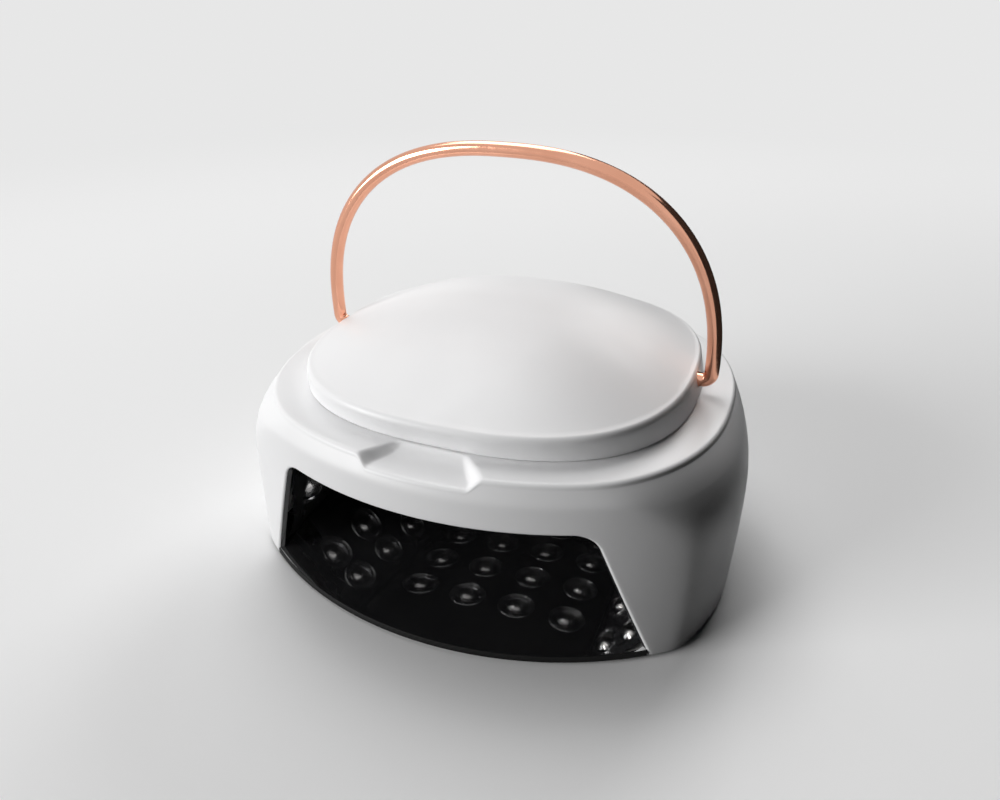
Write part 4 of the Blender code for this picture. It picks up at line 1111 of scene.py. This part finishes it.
# Group name and matrix of each lens: its Z points into the tunnel, from the liner's face.
def lensFrames():
    frames = {"ceiling": [], "left": [], "right": [], "back": []}
    for y in rowPlaces(lens["ceilingMiddle"], lens["ceilingPitchY"], lens["ceilingCount"]):
        for x in rowPlaces(0.0, lens["ceilingPitchX"], lens["ceilingCount"]):
            frames["ceiling"].append(placed((x, y, liner["top"]), pi))
    tilt = atan2(linerSlope, 1.0)
    along = Vector((0.0, 1.0, 0.0))
    for side, word in ((-1, "left"), (1, "right")):
        normal = Vector((-side * cos(tilt), 0.0, -sin(tilt)))
        turn = Matrix((along.cross(normal), along, normal)).transposed().to_4x4()
        for height in lens["wallHeights"]:
            x = side * (liner["footHalfWidth"] - linerSlope * (height - liner["foot"]))
            for y in rowPlaces(lens["wallMiddle"], lens["wallPitch"], lens["wallCount"]):
                frames[word].append(Matrix.Translation((x, y, height)) @ turn)
    for x in rowPlaces(0.0, lens["backPitch"], lens["backCount"]):
        frames["back"].append(placed((x, liner["back"], lens["backHeight"]), pi / 2))
    return frames


# Stretch of a dome's profile above its foot, up to just before its tip.
def domeProfile(radius, low, rise, steps):
    turns = [pi / 2 * share for share in shares(steps, 1)[:-1]]
    return [(radius * cos(turn), low + rise * sin(turn)) for turn in turns]


# (radius, height) of the black seat round a dome: its body, its rounded lip and its cup.
def seatProfile():
    gap = lens["windowGap"]
    body = lens["windowRadius"] - gap
    inner = lens["seatRadius"] + gap
    profile = [(body, -lens["bodyDepth"]), (body, lens["ringFoot"])]
    profile += [(lens["ringRadius"] - inset, max(lens["ringFoot"], lens["ringRise"] * share))
                for inset, share in ringLip]
    profile += [(inner + grow, height) for grow, height in cupShape]
    return profile + [(lens["cupRadius"], -lens["cupDepth"])]


# Domes, seats with reflector cups, and light chips of one face of the tunnel.
def lensGroup(word, places):
    low = lens["foot"]
    seat = -lens["seatDepth"]
    dome = [(lens["seatRadius"], seat), (lens["seatRadius"], -low), (lens["radius"], low)]
    dome += domeProfile(lens["radius"], low, lens["height"] - low, lens["domeRows"])
    bead = [(lens["emitterRadius"], -lens["emitterDepth"]), (lens["emitterRadius"], seat)]
    bead += domeProfile(lens["emitterRadius"], seat, lens["emitterHeight"], lens["emitterRows"])
    shapes = (("lens_domes", dome, lens["steps"], lens["height"], "lens", lensEdge),
              ("lens_seats", seatProfile(), lens["steps"], -lens["cupDepth"], "ringBlack", roundEdge),
              ("light_chips", bead, lens["emitterSteps"], lens["emitterHeight"] + seat, "chip", lensEdge))
    pieces = []
    for name, profile, steps, tipHeight, finish, sharp in shapes:
        work = bmesh.new()
        for matrix in places:
            addTurned(work, profile, steps, matrix, tipHeight)
        pieces.append(newPiece(f"{name}_{word}", work, finish, sharp))
    domes, seats, chips = pieces
    dress(domes, "housing", f"led_lens_{word}")
    dress(seats, "housing")
    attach(chips, "housing")


# Finish of the model's own nodes

nodeFinish = {
    "linerBlack": ["inner_liner", "hand_sensor_left", "hand_sensor_right"],
    "steel": ["handle_bracket_left", "handle_bracket_right", "handle_clip_left", "handle_clip_right"]
             + [f"deck_screw_{i}" for i in range(1, 5)] + [f"bracket_screw_{i}" for i in range(1, 5)]
             + [f"steel_disc_{i}" for i in range(1, 5)],
    "nylon": ["handle_bush_left", "handle_bush_right"],
    "greyPlastic": ["deck_plate", "battery_holder"],
    "nickel": [f"magnet_{i}" for i in range(1, 5)],
    "boardWhite": [f"led_board_{word}" for word in ("ceiling", "left", "right", "back")],
    "cellWrap": [f"battery_cell_{i}" for i in range(1, 5)],
    "boardGreen": ["main_board", "port_board"],
    "socketBlack": ["power_switch", "timer_switch"],
}


def finishNodes():
    for name, nodes in nodeFinish.items():
        for node in nodes:
            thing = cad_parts[node]
            if not thing.material_slots:
                thing.data.materials.append(materials[name])
            for slotPlace in thing.material_slots:
                slotPlace.material = materials[name]


# Studio

studio = {
    "pale": 0.80,
    "floorPale": 0.90,
    "bounce": 0.06,
    "ambient": 0.0,
    "floorHalfSize": 12.0,
    "fadeStart": 0.45,
    "fadeEnd": 1.30,
    "lightDistance": 3.0,
    "aimHeight": 0.06,
    "flagStart": -34.0,
    "flagEnd": 96.0,
    "flagDistance": 0.26,
    "flagFoot": 0.001,
    "flagHeight": 0.40,
    "flagSteps": 24,
}
# Direction that each light comes from, its size and the level that it gives a surface facing it
lights = [
    {"name": "key", "azimuth": 225.0, "elevation": 14.0, "size": 1.6, "level": 0.94},
    {"name": "top", "azimuth": 160.0, "elevation": 68.0, "size": 1.6, "level": 0.26},
    {"name": "backHigh", "azimuth": 120.0, "elevation": 58.0, "size": 1.6, "level": 0.30},
    {"name": "backLow", "azimuth": 84.0, "elevation": 30.0, "size": 1.2, "level": 0.32},
]


def addMath(tree, operation, first, second):
    node = addNode(tree, "Math", {0: first, 1: second})
    node.operation = operation
    return node.outputs["Value"]


# 1 for what the camera, a reflection or a clear piece shows, 0 for light that bounces.
def paleShare(tree):
    path = addNode(tree, "LightPath", {}).outputs
    seen = addMath(tree, "MAXIMUM", path["Is Camera Ray"], path["Is Glossy Ray"])
    return addMath(tree, "MAXIMUM", seen, path["Is Transmission Ray"])


def greyMix(tree, share, dark, light):
    blend = tree.nodes.new("ShaderNodeMix")
    blend.data_type = "RGBA"
    blend.inputs["A"].default_value = (dark, dark, dark, 1.0)
    blend.inputs["B"].default_value = (light, light, light, 1.0)
    tree.links.new(share, blend.inputs["Factor"])
    return blend.outputs["Result"]


# Pale floor that keeps the shadow near the lamp and fades into the backdrop further out.
def floorMaterial():
    material = bpy.data.materials.new("floorPale")
    material.use_nodes = True
    tree = material.node_tree
    tree.nodes.clear()
    share = paleShare(tree)
    ground = greyMix(tree, share, studio["bounce"], studio["floorPale"])
    near = addNode(tree, "BsdfDiffuse", {"Color": ground})
    pale = studio["pale"]
    far = addNode(tree, "Emission", {"Color": (pale, pale, pale, 1.0)})
    length = addNode(tree, "VectorMath", {0: addNode(tree, "TexCoord", {}).outputs["Object"]})
    length.operation = "LENGTH"
    fade = addNode(tree, "MapRange", {"From Min": studio["fadeStart"], "From Max": studio["fadeEnd"],
                                      "Value": length.outputs["Value"]})
    fade.interpolation_type = "SMOOTHSTEP"
    blend = addNode(tree, "MixShader", {"Fac": addMath(tree, "MULTIPLY", fade.outputs["Result"], share),
                                        1: near.outputs["BSDF"], 2: far.outputs["Emission"]})
    addNode(tree, "OutputMaterial", {"Surface": blend.outputs["Shader"]})
    return material


def addFloor():
    work = bmesh.new()
    half = studio["floorHalfSize"]
    corners = [(-half, -half), (half, -half), (half, half), (-half, half)]
    work.faces.new([work.verts.new((x, y, 0.0)) for x, y in corners])
    materials["floorPale"] = floorMaterial()
    newPiece("floor", work, "floorPale")


# Dark card round the right rear, which only reflections show.
def addFlag():
    work = bmesh.new()
    rows = [[], []]
    for share in shares(studio["flagSteps"]):
        angle = radians(mix(studio["flagStart"], studio["flagEnd"], share))
        x = studio["flagDistance"] * cos(angle)
        y = studio["flagDistance"] * sin(angle)
        for row, height in zip(rows, (studio["flagFoot"], studio["flagHeight"])):
            row.append(work.verts.new((x, y, height)))
    for i in range(studio["flagSteps"]):
        work.faces.new((rows[0][i], rows[0][i + 1], rows[1][i + 1], rows[1][i]))
    materials["flagBlack"] = newMaterial("flagBlack", (0.01, 0.01, 0.01), 0.9)
    card = newPiece("flag", work, "flagBlack")
    card.visible_camera = False
    card.visible_shadow = False
    card.visible_diffuse = False


def addLight(light):
    azimuth = radians(light["azimuth"])
    elevation = radians(light["elevation"])
    distance = studio["lightDistance"]
    data = bpy.data.lights.new(light["name"], "AREA")
    data.shape = "SQUARE"
    data.size = light["size"]
    data.energy = light["level"] * (pi * distance) ** 2
    thing = bpy.data.objects.new(light["name"], data)
    bpy.context.scene.collection.objects.link(thing)
    out = Vector((cos(azimuth) * cos(elevation), sin(azimuth) * cos(elevation), sin(elevation)))
    place = Vector((0.0, 0.0, studio["aimHeight"])) + distance * out
    thing.matrix_world = Matrix.Translation(place) @ out.to_track_quat("Z", "Y").to_matrix().to_4x4()


def addWorld():
    world = bpy.data.worlds.new("studio")
    world.use_nodes = True
    bpy.context.scene.world = world
    tree = world.node_tree
    background = tree.nodes["Background"]
    colour = greyMix(tree, paleShare(tree), studio["ambient"], studio["pale"])
    tree.links.new(colour, background.inputs["Color"])
    background.inputs["Strength"].default_value = 1.0
    bpy.context.scene.view_settings.view_transform = "Standard"


addCamera()
outerShell()
print("stage: shell made")
topCover()
print("stage: cover made")
handleBar()
print("stage: handle made")
basePlate()
for number, (x, y) in enumerate(foot["places"], 1):
    rubberFoot(number, x, y)
print("stage: base plate made")
portPanel()
pushButton("power")
pushButton("timer")
chargingSocket()
print("stage: port made")
for word, places in lensFrames().items():
    lensGroup(word, places)
print("stage: lenses made")
finishNodes()
addFloor()
addFlag()
for light in lights:
    addLight(light)
addWorld()
print("stage: studio made")
